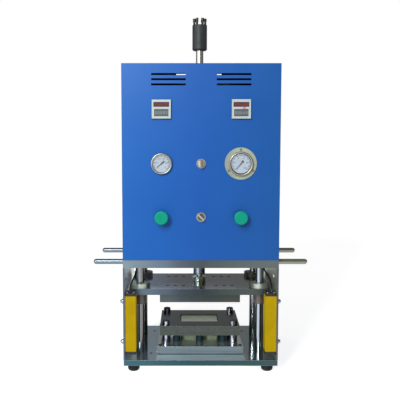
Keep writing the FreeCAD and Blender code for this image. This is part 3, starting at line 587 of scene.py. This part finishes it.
# Painted light and shade on the large gauge's flange: darker at its left edge, lightest at its
# middle
gauge_nickel_painted_light = surface("gauge_flange",
                       [(61, (160, 165, 149)), (76, (166, 172, 152)), (100, (186, 194, 172)),
                        (139, (180, 185, 164))], 0.7, metal=0.1, vary=0.12, vary_scale=90.0,
                       grain=(60.0, 60.0, 60.0), grain_share=0.4)
sleeve_tape = surface("sleeve_tape", (54, 55, 54), 0.5, vary=0.22, vary_scale=90.0, bump=0.5,
                      bump_scale=70.0, bump_depth=0.0012, spec=0.4)
black_screw = surface("blackened_screws", (66, 68, 60), 0.34, metal=0.8, vary=0.3, vary_scale=300.0)
dial_white = surface("dial_face", (184, 197, 214), 0.5, vary=0.03, vary_scale=60.0)
dial_ink = surface("dial_ink", (20, 22, 30), 0.5, vary=0.1, vary_scale=200.0)
dial_shadow = surface("gauge_inner_ring", (70, 74, 74), 0.5, vary=0.15, vary_scale=200.0)
display_red = surface("display_window", (92, 28, 37), 0.2, coat=0.5, vary=0.16, vary_scale=160.0)
# Painted shadow in the large gauge's well round its dial
dial_well_painted_shadow = surface("gauge_deep_ring_painted_shadow", (30, 32, 34), 0.4, vary=0.15, vary_scale=200.0)
needle_black = surface("gauge_needle", (18, 20, 26), 0.4, vary=0.15, vary_scale=300.0)
brown_screw = surface("flange_screws", (140, 126, 102), 0.36, metal=0.8, vary=0.25,
                      vary_scale=500.0)
# Lit, half shaded and shaded copies of the knobs' steel: painted light and shade
knob_painted_lit = surface("knob_painted_lit", (214, 214, 200), 0.3, metal=0.5, vary=0.1, vary_scale=220.0)
knob_painted_half_shade = surface("knob_painted_half_shade", (168, 160, 122), 0.3, metal=0.6, vary=0.1, vary_scale=220.0)
knob_painted_shade = surface("knob_painted_shade", (98, 102, 90), 0.3, metal=0.7, vary=0.1, vary_scale=220.0)
knob_steel = surface("knob_steel", (196, 194, 184), 0.2, metal=1.0, vary=0.1, vary_scale=220.0)
# The zeros' segments glow faintly though the display is unlit: painted light
display_segment_glow = emissive("display_segments_painted_glow", (176, 84, 74), 0.06)
display_unlit = surface("display_unlit_segments", (132, 40, 44), 0.3, vary=0.1)
wheel_pale = surface("wheel_windows", (134, 140, 142), 0.4, vary=0.08, vary_scale=300.0)
key_button = surface("wheel_buttons", (88, 94, 98), 0.45, vary=0.12, vary_scale=300.0)
display_grey = surface("key_field", (102, 110, 114), 0.45, vary=0.12, vary_scale=300.0)
key_dark = surface("key_marks", (64, 70, 74), 0.5, vary=0.15, vary_scale=300.0)
# The counter's reset key glows though it is no lamp: painted light
reset_key_glow = emissive("reset_key_painted_glow", (214, 40, 50), 0.5)
lens_black = surface("curtain_lens", (34, 12, 14), 0.1, coat=0.6, vary=0.15, vary_scale=200.0)
clear_glass = glass("gauge_glass")


# Frame plates

def by_side(_centre, normal):
    """The index of the material for a face: 0 in front and behind, 1 all round."""
    return 0 if abs(normal.y) > FACING else 1


def by_top(_centre, normal):
    """0 all round, 1 above and below."""
    return 1 if abs(normal.z) > FACING else 0


def by_rise(_centre, normal):
    """0 below and all round, 1 above."""
    return 1 if normal.z > 0.3 else 0


dress("base_plate", base_front, ground_top_painted_reflection, ground_edge_polish_and_highlight, width=0.7 * MM, pick=by_top, edge=2)
dress("top_plate", top_front_painted_light, ground_top_painted_reflection, ground_edge_polish_and_highlight, width=0.6 * MM, pick=by_top, edge=2)
dress("die_base", die_base_front, ground_top_painted_reflection, ground_edge_polish_and_highlight, width=0.6 * MM, pick=by_top, edge=2)

PLATEN_LOW, PLATEN_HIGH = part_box("platen")


def within_platen(point, margin):
    """Whether a point is inside the platen's outline, seen from above, by a margin."""
    return (PLATEN_LOW.x + margin < point.x < PLATEN_HIGH.x - margin
            and PLATEN_LOW.y + margin < point.y < PLATEN_HIGH.y - margin)


def platen_faces(centre, normal):
    """Front, face and the insides of the tapped holes, which are painted near black as shade."""
    if abs(normal.z) > FACING:
        return 3 if PLATEN_LOW.z + 1 * MM < centre.z < PLATEN_HIGH.z - 1 * MM else 1
    return 3 if within_platen(centre, 1 * MM) else 0


plate = dress("platen", platen_front_painted_light, platen_top_painted_reflection, ground_edge_polish_and_highlight, hole_painted_shade, width=0.3 * MM,
              pick=platen_faces, edge=2)
# Bevels round the holes take the same painted shade
for face in plate.data.polygons:
    if face.material_index == 2 and within_platen(face.center, 2 * MM):
        face.material_index = 3

# Painted shadow: a thin dark strip along the foot of the die base, where the gap to the base plate
# is in shade
work = bmesh.new()
low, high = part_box("die_base")
slab(work, (low.x + 0.3 * MM, low.y - 0.25 * MM, low.z),
     (high.x - 0.3 * MM, low.y + 0.5 * MM, low.z + 1.2 * MM))
from_bmesh("die_base_gap_shadow_line", work, "die_base", gap_shadow_strip)

dress("pressure_plate", press_front, die_top_painted_light, ground_edge_polish_and_highlight, width=0.6 * MM, pick=by_top, edge=2)
dress("upper_die", die_front_painted_light, die_top_painted_light, ground_edge_polish_and_highlight, width=0.5 * MM, pick=by_top, edge=2)
# The punch's top takes the painted light, its sides the darker olive
dress("forming_punch", punch_side, punch_steel_painted_light, width=0.6 * MM, segments=3, pick=by_top)

INNER_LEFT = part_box("side_plate_left")[1].x
INNER_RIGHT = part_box("side_plate_right")[0].x
# Painted light on the side plates' bare inner faces: near white on the left plate, darker on the
# right one
bare_side_painted_light = surface("side_plate_bare_painted_light",
                    [(-190, (252, 255, 255)), (190, (196, 202, 188))], 0.45, metal=0.95, vary=0.12,
                    vary_scale=40.0, grain=(420.0, 9.0, 420.0), grain_share=0.35)
# Painted light on the side plates' front edges: lighter and bluer on the left plate, darker grey on
# the right
side_edge_painted_light = surface("side_plate_edge_painted_light",
                    [(-190, (84, 102, 138)), (190, (84, 90, 100))], 0.4, metal=0.3, vary=0.14,
                    vary_scale=60.0)


def inner_face(plane):
    """Paint, the bare inner face at x = plane, and the front edge."""
    def pick(centre, normal):
        if normal.y < -FACING:
            return 2
        return 1 if abs(centre.x - plane) < 0.2 * MM and abs(normal.x) > FACING else 0
    return pick


dress("side_plate_left", blue_paint_painted_light, bare_side_painted_light, side_edge_painted_light, width=0.5 * MM,
      pick=inner_face(INNER_LEFT), edge=2)
dress("side_plate_right", blue_paint_painted_light, bare_side_painted_light, side_edge_painted_light, width=0.5 * MM,
      pick=inner_face(INNER_RIGHT), edge=2)


def bushing_part(centre, _normal):
    """The front flanges are pale, the rear ones and the sleeves under the platen a brown painted
    shade.
    """
    return 0 if centre.z > PLATEN_HIGH.z - 1 * MM and centre.y < 0 else 1


dress("guide_posts", chrome, width=0.35 * MM)
# The pins' tops and upper chamfers take the pressure plate's dark front colour: painted shade in
# place of their reflection
dress("guide_pins", pin_steel_painted_streaks, press_front, width=0.35 * MM, pick=by_rise, edge=1)
dress("stroke_rod", rod_chrome_painted_highlight, width=0.6 * MM)
dress("ram_rod", ram_steel_painted_highlight, width=0.5 * MM)
dress("rod_coupling", coupling_steel_painted_highlight, width=0.8 * MM, segments=3)
dress("side_cap_nuts", bright_steel, width=0.4 * MM)
dress("carry_bars", bar_steel_painted_light, width=0.4 * MM)
dress("platen_bushings", bushing_steel_painted_light, bushing_painted_shade, width=0.6 * MM, segments=3,
      pick=bushing_part)
dress("rubber_feet", rubber, width=0.0)
dress("die_springs", spring_rubber, width=0.8 * MM, segments=3)
dress("cylinder_heads", cast_aluminium, width=0.8 * MM)
dress("cylinder_barrel", cast_aluminium, width=0.4 * MM)
dress("cylinder_tie_rods", zinc, width=0.4 * MM)

# Screws that hold the side plates, inside

SIDE_SCREW_HEAD = [(5.2, -0.2), (5.2, 1.2), (4.4, 2.6), (3.0, 3.3), (0, 3.5)]
SIDE_SCREW_Y, SIDE_SCREW_Z = -93 * MM, 244.2 * MM
work = bmesh.new()
for x, side in ((INNER_LEFT, 1), (INNER_RIGHT, -1)):
    turn(work, scaled_profile(SIDE_SCREW_HEAD), Vector((x, SIDE_SCREW_Y, SIDE_SCREW_Z)),
         (side, 0, 0), 24)
from_bmesh("side_plate_screws", work, "side_cap_nuts", pale_screw)

# Chamfers of the tapped holes in the platen, painted near black as shade

HOLES_X, HOLES_Y = (-88, -66, -44, 44, 66, 88), (-50, 80)
CHAMFER = [(3.3, -0.4), (3.3, 0.03), (4.6, 0.05)]
work = bmesh.new()
for x in HOLES_X:
    for y in HOLES_Y:
        turn(work, scaled_profile(CHAMFER), Vector((x * MM, y * MM, PLATEN_HIGH.z)), (0, 0, 1), 28)
from_bmesh("platen_hole_chamfers", work, "platen", hole_painted_shade)

# Screws of the frame plates and of the die base

UP, DOWN, BACK = Vector((0, 0, 1)), Vector((0, 0, -1)), Vector((0, 1, 0))


def spots_at(xs, ys, z):
    """Spots at every x and y in mm, at the height z in metres."""
    return [(x * MM, y * MM, z) for x in xs for y in ys]


screws("die_base_screws", "side_cap_nuts",
       spots_at((-107, 107), (-94, 124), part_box("die_base")[1].z), UP, 4.3, 3.6, black_screw,
       width=0.25 * MM, angle=SMALL_SCREW_ANGLE)
screws("base_plate_screws", "guide_posts",
       spots_at((-131, 131), (-94, 124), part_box("base_plate")[1].z), UP, 4.2, 0.35, black_screw)
screws("post_screws", "side_cap_nuts",
       spots_at((-161, 161), (-66, 96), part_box("base_plate")[0].z), DOWN, 6.5, 2.4, black_screw,
       width=0.3 * MM, angle=SMALL_SCREW_ANGLE)

# Cabinet

CABINET_MIDDLE = Vector((0, 15, 544)) * MM


def centre_of(node):
    low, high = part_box(node)
    return (low + high) / 2


def facing_in(node):
    """Paint outside, and a dark grey painted shade on the faces towards the middle of the cabinet.
    """
    inward = (CABINET_MIDDLE - centre_of(node)).normalized()

    def pick(_centre, normal):
        return 1 if normal.dot(inward) > 0.7 else 0
    return pick


for node in ("front_panel", "cabinet_side_left", "cabinet_side_right", "cabinet_rear",
             "cabinet_roof"):
    dress(node, blue_paint_painted_light, inside_painted_shade, blue_edge, width=0.7 * MM, pick=facing_in(node), edge=2)

# Screws of the cabinet's panels

SCREW_INSET = 22 * MM
HEAD_RADIUS, HEAD_HEIGHT = 3.4 * MM, 1.9 * MM
REAR_SCREWS_X = (-186, -62, 62, 186)
SIDE_FACE = 200 * MM
work = bmesh.new()
rear_low, rear_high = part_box("cabinet_rear")
side_low, side_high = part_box("cabinet_side_left")
for z in (rear_low.z + SCREW_INSET, centre_of("cabinet_rear").z, rear_high.z - SCREW_INSET):
    for x in REAR_SCREWS_X:
        socket_screw(work, Vector((x * MM, rear_high.y - SCREW_SINK, z)), BACK, HEAD_RADIUS,
                     HEAD_HEIGHT)
    for y in (side_low.y + SCREW_INSET, side_high.y - SCREW_INSET):
        for side in (-1, 1):
            socket_screw(work, Vector((side * (SIDE_FACE - SCREW_SINK), y, z)), (side, 0, 0),
                         HEAD_RADIUS, HEAD_HEIGHT)
from_bmesh("cabinet_screws", work, "side_cap_nuts", zinc, width=0.2 * MM,
           angle=SMALL_SCREW_ANGLE)

# Light curtains

for node in ("light_curtain_left", "light_curtain_right"):
    dress(node, yellow_paint, width=0.8 * MM, segments=3)
dress("curtain_caps", black_plastic, width=0.6 * MM, segments=3)
dress("lead_glands", black_plastic, width=0.4 * MM)

LENS_GROOVE, LENS_THICKNESS = 2 * MM, 0.5 * MM
LENS_HALF_WIDTH, LENS_END = 5.2 * MM, 3 * MM
CAP_HEIGHT = 8 * MM
CAP_SCREW_X, CAP_SCREW_Y = 8.5 * MM, 6.5 * MM
CAP_SCREW_RADIUS, CAP_SCREW_HEIGHT = 2.3 * MM, 1.9 * MM
work = bmesh.new()
studs = bmesh.new()
for node, side in (("light_curtain_left", -1), ("light_curtain_right", 1)):
    low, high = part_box(node)
    middle = (low + high) / 2
    groove = (high.x if side < 0 else low.x) + side * LENS_GROOVE
    near, far = sorted((groove, groove - side * LENS_THICKNESS))
    slab(work, (near, middle.y - LENS_HALF_WIDTH, low.z + LENS_END),
         (far, middle.y + LENS_HALF_WIDTH, high.z - LENS_END))
    for x in (middle.x - CAP_SCREW_X, middle.x + CAP_SCREW_X):
        for z, axis in ((high.z + CAP_HEIGHT, UP), (low.z - CAP_HEIGHT, DOWN)):
            socket_screw(studs, Vector((x, low.y + CAP_SCREW_Y, z)), axis, CAP_SCREW_RADIUS,
                         CAP_SCREW_HEIGHT)
from_bmesh("curtain_lenses", work, "curtain_caps", lens_black, width=0.2 * MM)
from_bmesh("curtain_cap_screws", studs, "side_cap_nuts", zinc, width=0.12 * MM,
           angle=SMALL_SCREW_ANGLE)
BOOT = [(4.4, -0.2), (4.4, 1.6), (3.6, 2.2), (3.5, 3.6), (3.1, 3.9), (3.1, 5.2), (2.7, 5.6),
        (2.6, 7.4), (2.15, 7.8)]
work = bmesh.new()
for route in (LEFT_LEAD, RIGHT_LEAD):
    turn(work, scaled_profile(BOOT), Vector(route[0]) * MM, UP, 28)
from_bmesh("lead_boots", work, "curtain_caps", black_plastic)

# Controls

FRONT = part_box("front_panel")[0].y
PANEL_TURN = Matrix.Rotation(math.pi / 2, 4, "X")
OUT = -BACK


def on_panel(x, z, proud):
    """A place in front of the control panel: x to the right, y up and z out of it."""
    return Matrix.Translation((x, FRONT - proud, z)) @ PANEL_TURN


def spun(angle):
    return Matrix.Rotation(math.radians(angle), 4, "Z")


dress("button_collars", black_plastic, width=0.4 * MM)
dress("start_button_left", green_plastic, width=0.0)
dress("start_button_right", green_plastic, width=0.0)
dress("switch_collars", gauge_steel, width=0.5 * MM)


def knob_faces(node, tilt, left, right):
    """Grip, its left side with the face left of it, and the same to the right.

    Sides facing left take the painted light, sides facing right the painted shade.
    """
    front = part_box(node)[0].y
    middle = centre_of(node)
    across = Vector((math.cos(tilt), 0, math.sin(tilt)))

    def pick(centre, normal):
        if normal.y < -FACING and centre.y < front + 1 * MM:
            return 0
        offset = (centre - middle).dot(across)
        if abs(normal.y) > FACING:
            return left if offset < 0 else right
        return 1 if normal.dot(across) < 0 else 3
    return pick


for node, tilt, left, right in (("mode_knob", 0.0, 1, 2), ("power_knob", math.radians(45), 3, 3)):
    dress(node, knob_steel, knob_painted_lit, knob_painted_half_shade, knob_painted_shade, width=0.5 * MM, segments=3,
          pick=knob_faces(node, tilt, left, right))
# The bezels' chamfers and sides are a dark blue-grey: painted shade round the timer and counter
dress("timer", bezel_plastic, bezel_edge_painted_shade, width=1.2 * MM, segments=3, pick=by_side, edge=1)
dress("counter", bezel_plastic, bezel_edge_painted_shade, width=1.2 * MM, segments=3, pick=by_side, edge=1)

SMALL_CASE = [(0, -28), (24.4, -28), (25, -27.4), (25, 0), (26.4, 0), (27, 0.5), (27, 6.9),
              (26.8, 8.1), (26.2, 9.2), (25.3, 9.85), (24.5, 10), (23.7, 9.75), (22.9, 9.1),
              (22.3, 8.2)]
SMALL_WELL = [(22.3, 8.2), (22.1, 7.4), (21.9, 6.1)]
SMALL_DIAL = [(21.9, 6.1), (21.6, 6.06), (0, 6.06)]
SMALL_NEEDLE = [(-0.5, 15), (0.5, 15), (1.2, 1), (1.9, -2), (2.1, -9.6), (-2.1, -9.6), (-1.9, -2),
                (-1.2, 1)]
LARGE_FLANGE = [(30.4, 0), (40.1, 0), (40.75, 0.6), (40.75, 2.2), (40.2, 2.9), (39.4, 3),
                (31.6, 3), (30.6, 3.3)]
LARGE_CASE = [(0, -28), (28, -28), (28, 0), (30.4, 0)]
LARGE_BEZEL = [(30.6, 3.3), (30.6, 9.6), (30.3, 11.2), (29.6, 12.4), (28.7, 12.95), (27.9, 13),
               (27.0, 12.7), (26.2, 11.9), (25.8, 10.9)]
LARGE_WELL = [(25.8, 10.9), (25.1, 10), (24.3, 9.1)]
LARGE_DIAL = [(24.3, 9.1), (24.1, 9.06), (0, 9.06)]
LARGE_NEEDLE = [(-0.55, 18.6), (0.55, 18.6), (1.3, 0), (1.5, -3.6), (2.6, -4.6), (3.2, -6.6),
                (2.7, -8.8), (1.2, -10), (-1.2, -10), (-2.7, -8.8), (-3.2, -6.6), (-2.6, -4.6),
                (-1.5, -3.6), (-1.3, 0)]


SCALE_SWEEP, SCALE_STEPS = 270, 50


def gauge(node, sections, materials, numbers, needle, tilt, hub):
    """Turned case, dial with its scale, needle and cover. The last section is the dial."""
    middle = centre_of(node)
    origin = Vector((middle.x, FRONT, middle.z))
    dial_radius, dial_level = scaled_profile(sections[-1][1])[1]
    work = bmesh.new()
    for index, profile in sections:
        turn(work, scaled_profile(profile), origin, OUT, 72, index)
    case = from_bmesh(node + "_case", work, node, *materials)
    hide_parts(node)

    face = on_panel(middle.x, middle.z, dial_level)
    work = bmesh.new()
    for step in range(SCALE_STEPS + 1):
        place = face @ spun(SCALE_SWEEP * (0.5 - step / SCALE_STEPS))
        major = step % 5 == 0
        half = (0.6 if major else 0.28) * MM
        inner = (0.78 if major else 0.85) * dial_radius
        slab(work, (-half, inner, 0), (half, 0.93 * dial_radius, 0.08 * MM), place=place)
    for step in range(SCALE_SWEEP // 2):
        place = face @ spun(SCALE_SWEEP / 2 - 2 * step)
        slab(work, (-0.46 * MM, 0.93 * dial_radius, 0),
             (0.46 * MM, 0.945 * dial_radius, 0.06 * MM), place=place)
    for index, text in enumerate(numbers):
        angle = math.radians(225 - SCALE_SWEEP * index / (len(numbers) - 1))
        spot = Matrix.Translation((0.63 * dial_radius * math.cos(angle),
                                   0.63 * dial_radius * math.sin(angle), 0.03 * MM))
        words(work, text, 0.3 * dial_radius, face @ spot)
    from_bmesh(node + "_scale", work, node, dial_ink)

    work = bmesh.new()
    prism(work, scaled_profile(needle), 0.7 * MM, 1.2 * MM, face @ spun(tilt))
    turn(work, scaled_profile([(hub, 0), (hub, 1.5), (hub * 0.7, 1.9), (0, 2.0)]),
         origin + OUT * dial_level, OUT, 24)
    from_bmesh(node + "_needle", work, node, needle_black)

    work = bmesh.new()
    cover = dial_level + 1.9 * MM
    turn(work, [(dial_radius * 1.005, cover), (dial_radius * 0.6, cover + 0.3 * MM),
                (0, cover + 0.4 * MM)], origin, OUT, 48)
    from_bmesh(node + "_glass", work, node, clear_glass)


gauge("small_gauge", ((0, SMALL_CASE), (1, SMALL_WELL), (2, SMALL_DIAL)),
      (gauge_steel, dial_shadow, dial_white), ("0", "0.2", "0.4", "0.6", "0.8", "1"),
      SMALL_NEEDLE, tilt=131, hub=1.9)
gauge("large_gauge", ((0, LARGE_CASE), (0, LARGE_FLANGE), (3, LARGE_BEZEL), (1, LARGE_WELL),
                      (2, LARGE_DIAL)),
      (gauge_nickel_painted_light, dial_well_painted_shadow, dial_white, gauge_steel), ("0", "2", "4", "6", "8", "10"),
      LARGE_NEEDLE, tilt=141, hub=1.7)

# Screws in the flange of the large gauge

FLANGE_FACE = FRONT - 3 * MM
FLANGE_SCREW_RING = 35.5 * MM
middle = centre_of("large_gauge")
spots = [(middle.x + FLANGE_SCREW_RING * math.cos(angle), FLANGE_FACE,
          middle.z + FLANGE_SCREW_RING * math.sin(angle))
         for angle in (math.pi / 2 + 2 * math.pi * index / 3 for index in range(3))]
screws("gauge_flange_screws", "large_gauge", spots, OUT, 3.1, 1.8, brown_screw, width=0.15 * MM,
       angle=SMALL_SCREW_ANGLE)

# Timer and counter

SEGMENTS = {"a": (0, 1, 1), "b": (1, 0.5, 0), "c": (1, -0.5, 0), "d": (0, -1, 1),
            "e": (-1, -0.5, 0), "f": (-1, 0.5, 0), "g": (0, 0, 1)}
SEGMENTS_OF_ZERO = "abcdef"
DIGITS, DIGIT_PITCH, DIGIT_MIDDLE = 6, 5.7, 11.1
DIGIT_HALF_WIDTH, DIGIT_HALF_HEIGHT, DIGIT_SLANT = 1.75, 2.7, 0.25
WHEEL_PITCH = 6.7
WINDOW_DEPTH = 5.8 * MM


def instrument_face(node, preset, reset):
    """Display window with seven-segment digits, and the preset wheels under it."""
    middle = centre_of(node)
    place = on_panel(middle.x, middle.z, WINDOW_DEPTH)
    work = bmesh.new()
    block(work, (-18.9, 5.8, 0), (18.9, 16.4, 0.35), place)
    from_bmesh(node + "_display", work, node, display_red, width=0.2 * MM)

    work = bmesh.new()
    for digit in range(DIGITS):
        base_x = (digit - (DIGITS - 1) / 2) * DIGIT_PITCH
        for key, (sx, sy, flat) in SEGMENTS.items():
            x = base_x + sx * DIGIT_HALF_WIDTH + sy * DIGIT_SLANT
            y = DIGIT_MIDDLE + sy * DIGIT_HALF_HEIGHT
            half_x, half_y = (1.35, 0.42) if flat else (0.42, 1.15)
            block(work, (x - half_x, y - half_y, 0.35), (x + half_x, y + half_y, 0.43), place,
                  0 if key in SEGMENTS_OF_ZERO else 1)
        block(work, (base_x + 2.75, 8.0, 0.35), (base_x + 3.2, 8.5, 0.42), place, 1)
    from_bmesh(node + "_digits", work, node, display_segment_glow, display_unlit)

    work = bmesh.new()
    block(work, (-17.2, -17.6, 0), (17.2, -1.0, 0.15), place)
    for wheel in range(len(preset)):
        x = (wheel - 2) * WHEEL_PITCH
        block(work, (x - 3.0, -17.1, 0.1), (x + 3.0, -1.5, 0.55), place, 1)
        block(work, (x - 2.1, -12.2, 0.5), (x + 2.1, -6.4, 0.75), place, 2)
        for low, high in ((-16.4, -13.6), (-5.0, -2.2)):
            block(work, (x - 2.0, low, 0.5), (x + 2.0, high, 0.95), place, 3)
    from_bmesh(node + "_wheels", work, node, key_dark, display_grey, wheel_pale, key_button,
               width=0.12 * MM)

    work = bmesh.new()
    for wheel, text in enumerate(preset):
        spot = Matrix.Translation(Vector(((wheel - 2) * WHEEL_PITCH, -9.3, 0.78)) * MM)
        words(work, text, 4.6 * MM, place @ spot)
    from_bmesh(node + "_numbers", work, node, dial_ink)

    if reset:
        work = bmesh.new()
        block(work, (3.9, 0.7, 0.9), (10.3, 3.9, 2.1), place)
        from_bmesh(node + "_reset", work, node, reset_key_glow, width=0.6 * MM, segments=3)


instrument_face("timer", "00050", reset=False)
instrument_face("counter", "00300", reset=True)

# Ridges round the caps of the start buttons

RIDGES = 36
for node in ("start_button_left", "start_button_right"):
    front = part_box(node)[0].y
    middle = centre_of(node)
    work = bmesh.new()
    for index in range(RIDGES):
        place = (Matrix.Translation((middle.x, front, middle.z)) @ PANEL_TURN
                 @ spun(index * 360 / RIDGES))
        block(work, (-0.5, 17.0, -13.6), (0.5, 17.45, -5.4), place)
    from_bmesh(node + "_ridges", work, node, green_plastic, width=0.1 * MM)

# Stroke sleeve and its screws

dress("stroke_sleeve", sleeve_tape, width=0.6 * MM)
SLEEVE_SCREWS, SLEEVE_SCREW_RING = 6, 15 * MM
THREAD_LENGTH, THREAD_RADIUS, THREAD_ROOT = 10.6, 3.1, 2.75
middle = centre_of("stroke_sleeve")
sleeve_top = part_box("stroke_sleeve")[1].z
thread = [(2.5, -0.2), (THREAD_RADIUS, 0.2)]
for ridge in range(10):
    thread += [(THREAD_RADIUS, 0.4 + ridge), (THREAD_ROOT, 0.7 + ridge),
               (THREAD_RADIUS, 1.0 + ridge)]
thread.append((THREAD_RADIUS, THREAD_LENGTH))
work = bmesh.new()
for index in range(SLEEVE_SCREWS):
    angle = 2 * math.pi * index / SLEEVE_SCREWS
    spot = Vector((middle.x + SLEEVE_SCREW_RING * math.cos(angle),
                   middle.y + SLEEVE_SCREW_RING * math.sin(angle), sleeve_top))
    turn(work, scaled_profile(thread), spot, UP, 20)
    socket_screw(work, spot + UP * THREAD_LENGTH * MM, UP, 4.0 * MM, 7.2 * MM)
sleeve_heads = from_bmesh("sleeve_socket_screws", work, "sleeve_screws", black_screw)
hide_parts("sleeve_screws")

# Stage and light

floor_mesh = bpy.data.meshes.new("floor")
floor_mesh.from_pydata([(-6, -6, 0), (6, -6, 0), (6, 6, 0), (-6, 6, 0)], [], [(0, 1, 2, 3)])
floor = bpy.data.objects.new("floor", floor_mesh)
bpy.context.scene.collection.objects.link(floor)
FLOOR_GLOW = 0.74
floor_mat = bpy.data.materials.new("floor")
floor_mat.use_nodes = True
tree = floor_mat.node_tree
tree.nodes.clear()
new, link = tree.nodes.new, tree.links.new
floor_out = new("ShaderNodeOutputMaterial")
floor_shader = new("ShaderNodeBsdfPrincipled")
floor_shader.inputs["Base Color"].default_value = (0.7, 0.7, 0.7, 1.0)
floor_shader.inputs["Roughness"].default_value = 0.9
floor_shader.inputs["Emission Color"].default_value = (1.0, 1.0, 1.0, 1.0)
rays = new("ShaderNodeLightPath")
seen = combined(tree, "MAXIMUM", rays.outputs["Is Camera Ray"], rays.outputs["Is Glossy Ray"])
level = new("ShaderNodeMath")
level.operation = "MULTIPLY"
level.inputs[1].default_value = FLOOR_GLOW
link(seen, level.inputs[0])
link(level.outputs[0], floor_shader.inputs["Emission Strength"])
link(floor_shader.outputs[0], floor_out.inputs[0])
floor_mesh.materials.append(floor_mat)

AMBIENT_LEVEL = 0.33
world = bpy.data.worlds.new("studio")
bpy.context.scene.world = world
world.use_nodes = True
tree = world.node_tree
tree.nodes.clear()
new, link = tree.nodes.new, tree.links.new
world_out = new("ShaderNodeOutputWorld")
back = new("ShaderNodeBackground")
back.inputs["Color"].default_value = (1.0, 1.0, 1.0, 1.0)
link(back.outputs[0], world_out.inputs[0])

# White behind the machine. Reflections see a dim room with a window on the left, and all other
# light is an even grey
rays = new("ShaderNodeLightPath")
direct = combined(tree, "MAXIMUM", rays.outputs["Is Camera Ray"],
                  rays.outputs["Is Transmission Ray"])
direction = new("ShaderNodeTexCoord").outputs["Generated"]
split = new("ShaderNodeSeparateXYZ")
link(direction, split.inputs[0])
room = ramped(tree, split.outputs["Y"], 0.2, -0.75, 0.2, 0.3, "SMOOTHSTEP")
window = ramped(tree, split.outputs["X"], -0.42, -0.62, 0.0, 1.35, "SMOOTHSTEP")
window_end = ramped(tree, split.outputs["Y"], 0.1, -0.15)
reflected = combined(tree, "ADD", room, combined(tree, "MULTIPLY", window, window_end))
ambient = new("ShaderNodeMix")
ambient.inputs[2].default_value = AMBIENT_LEVEL
link(rays.outputs["Is Glossy Ray"], ambient.inputs[0])
link(reflected, ambient.inputs[3])
total = new("ShaderNodeMix")
total.inputs[3].default_value = 1.0
link(direct, total.inputs[0])
link(ambient.outputs[0], total.inputs[2])
link(total.outputs[0], back.inputs["Strength"])


def lamp(name, kind, energy, location, target, **settings):
    """A light at a location, aimed at a target."""
    data = bpy.data.lights.new(name, kind)
    data.energy = energy
    for key, value in settings.items():
        setattr(data, key, value)
    obj = bpy.data.objects.new(name, data)
    bpy.context.scene.collection.objects.link(obj)
    obj.location = location
    aim = Vector(target) - Vector(location)
    obj.rotation_euler = aim.to_track_quat("-Z", "Y").to_euler()


lamp("window", "SUN", 0.9, (-1.0, -2.5, 0.8), (0, 0, 0.0), angle=math.radians(6))
lamp("softbox", "AREA", 10.6, (-0.46, -1.45, 1.24), (-0.02, -0.15, 0.5), size=0.5,
     color=(0.86, 0.98, 1.0))
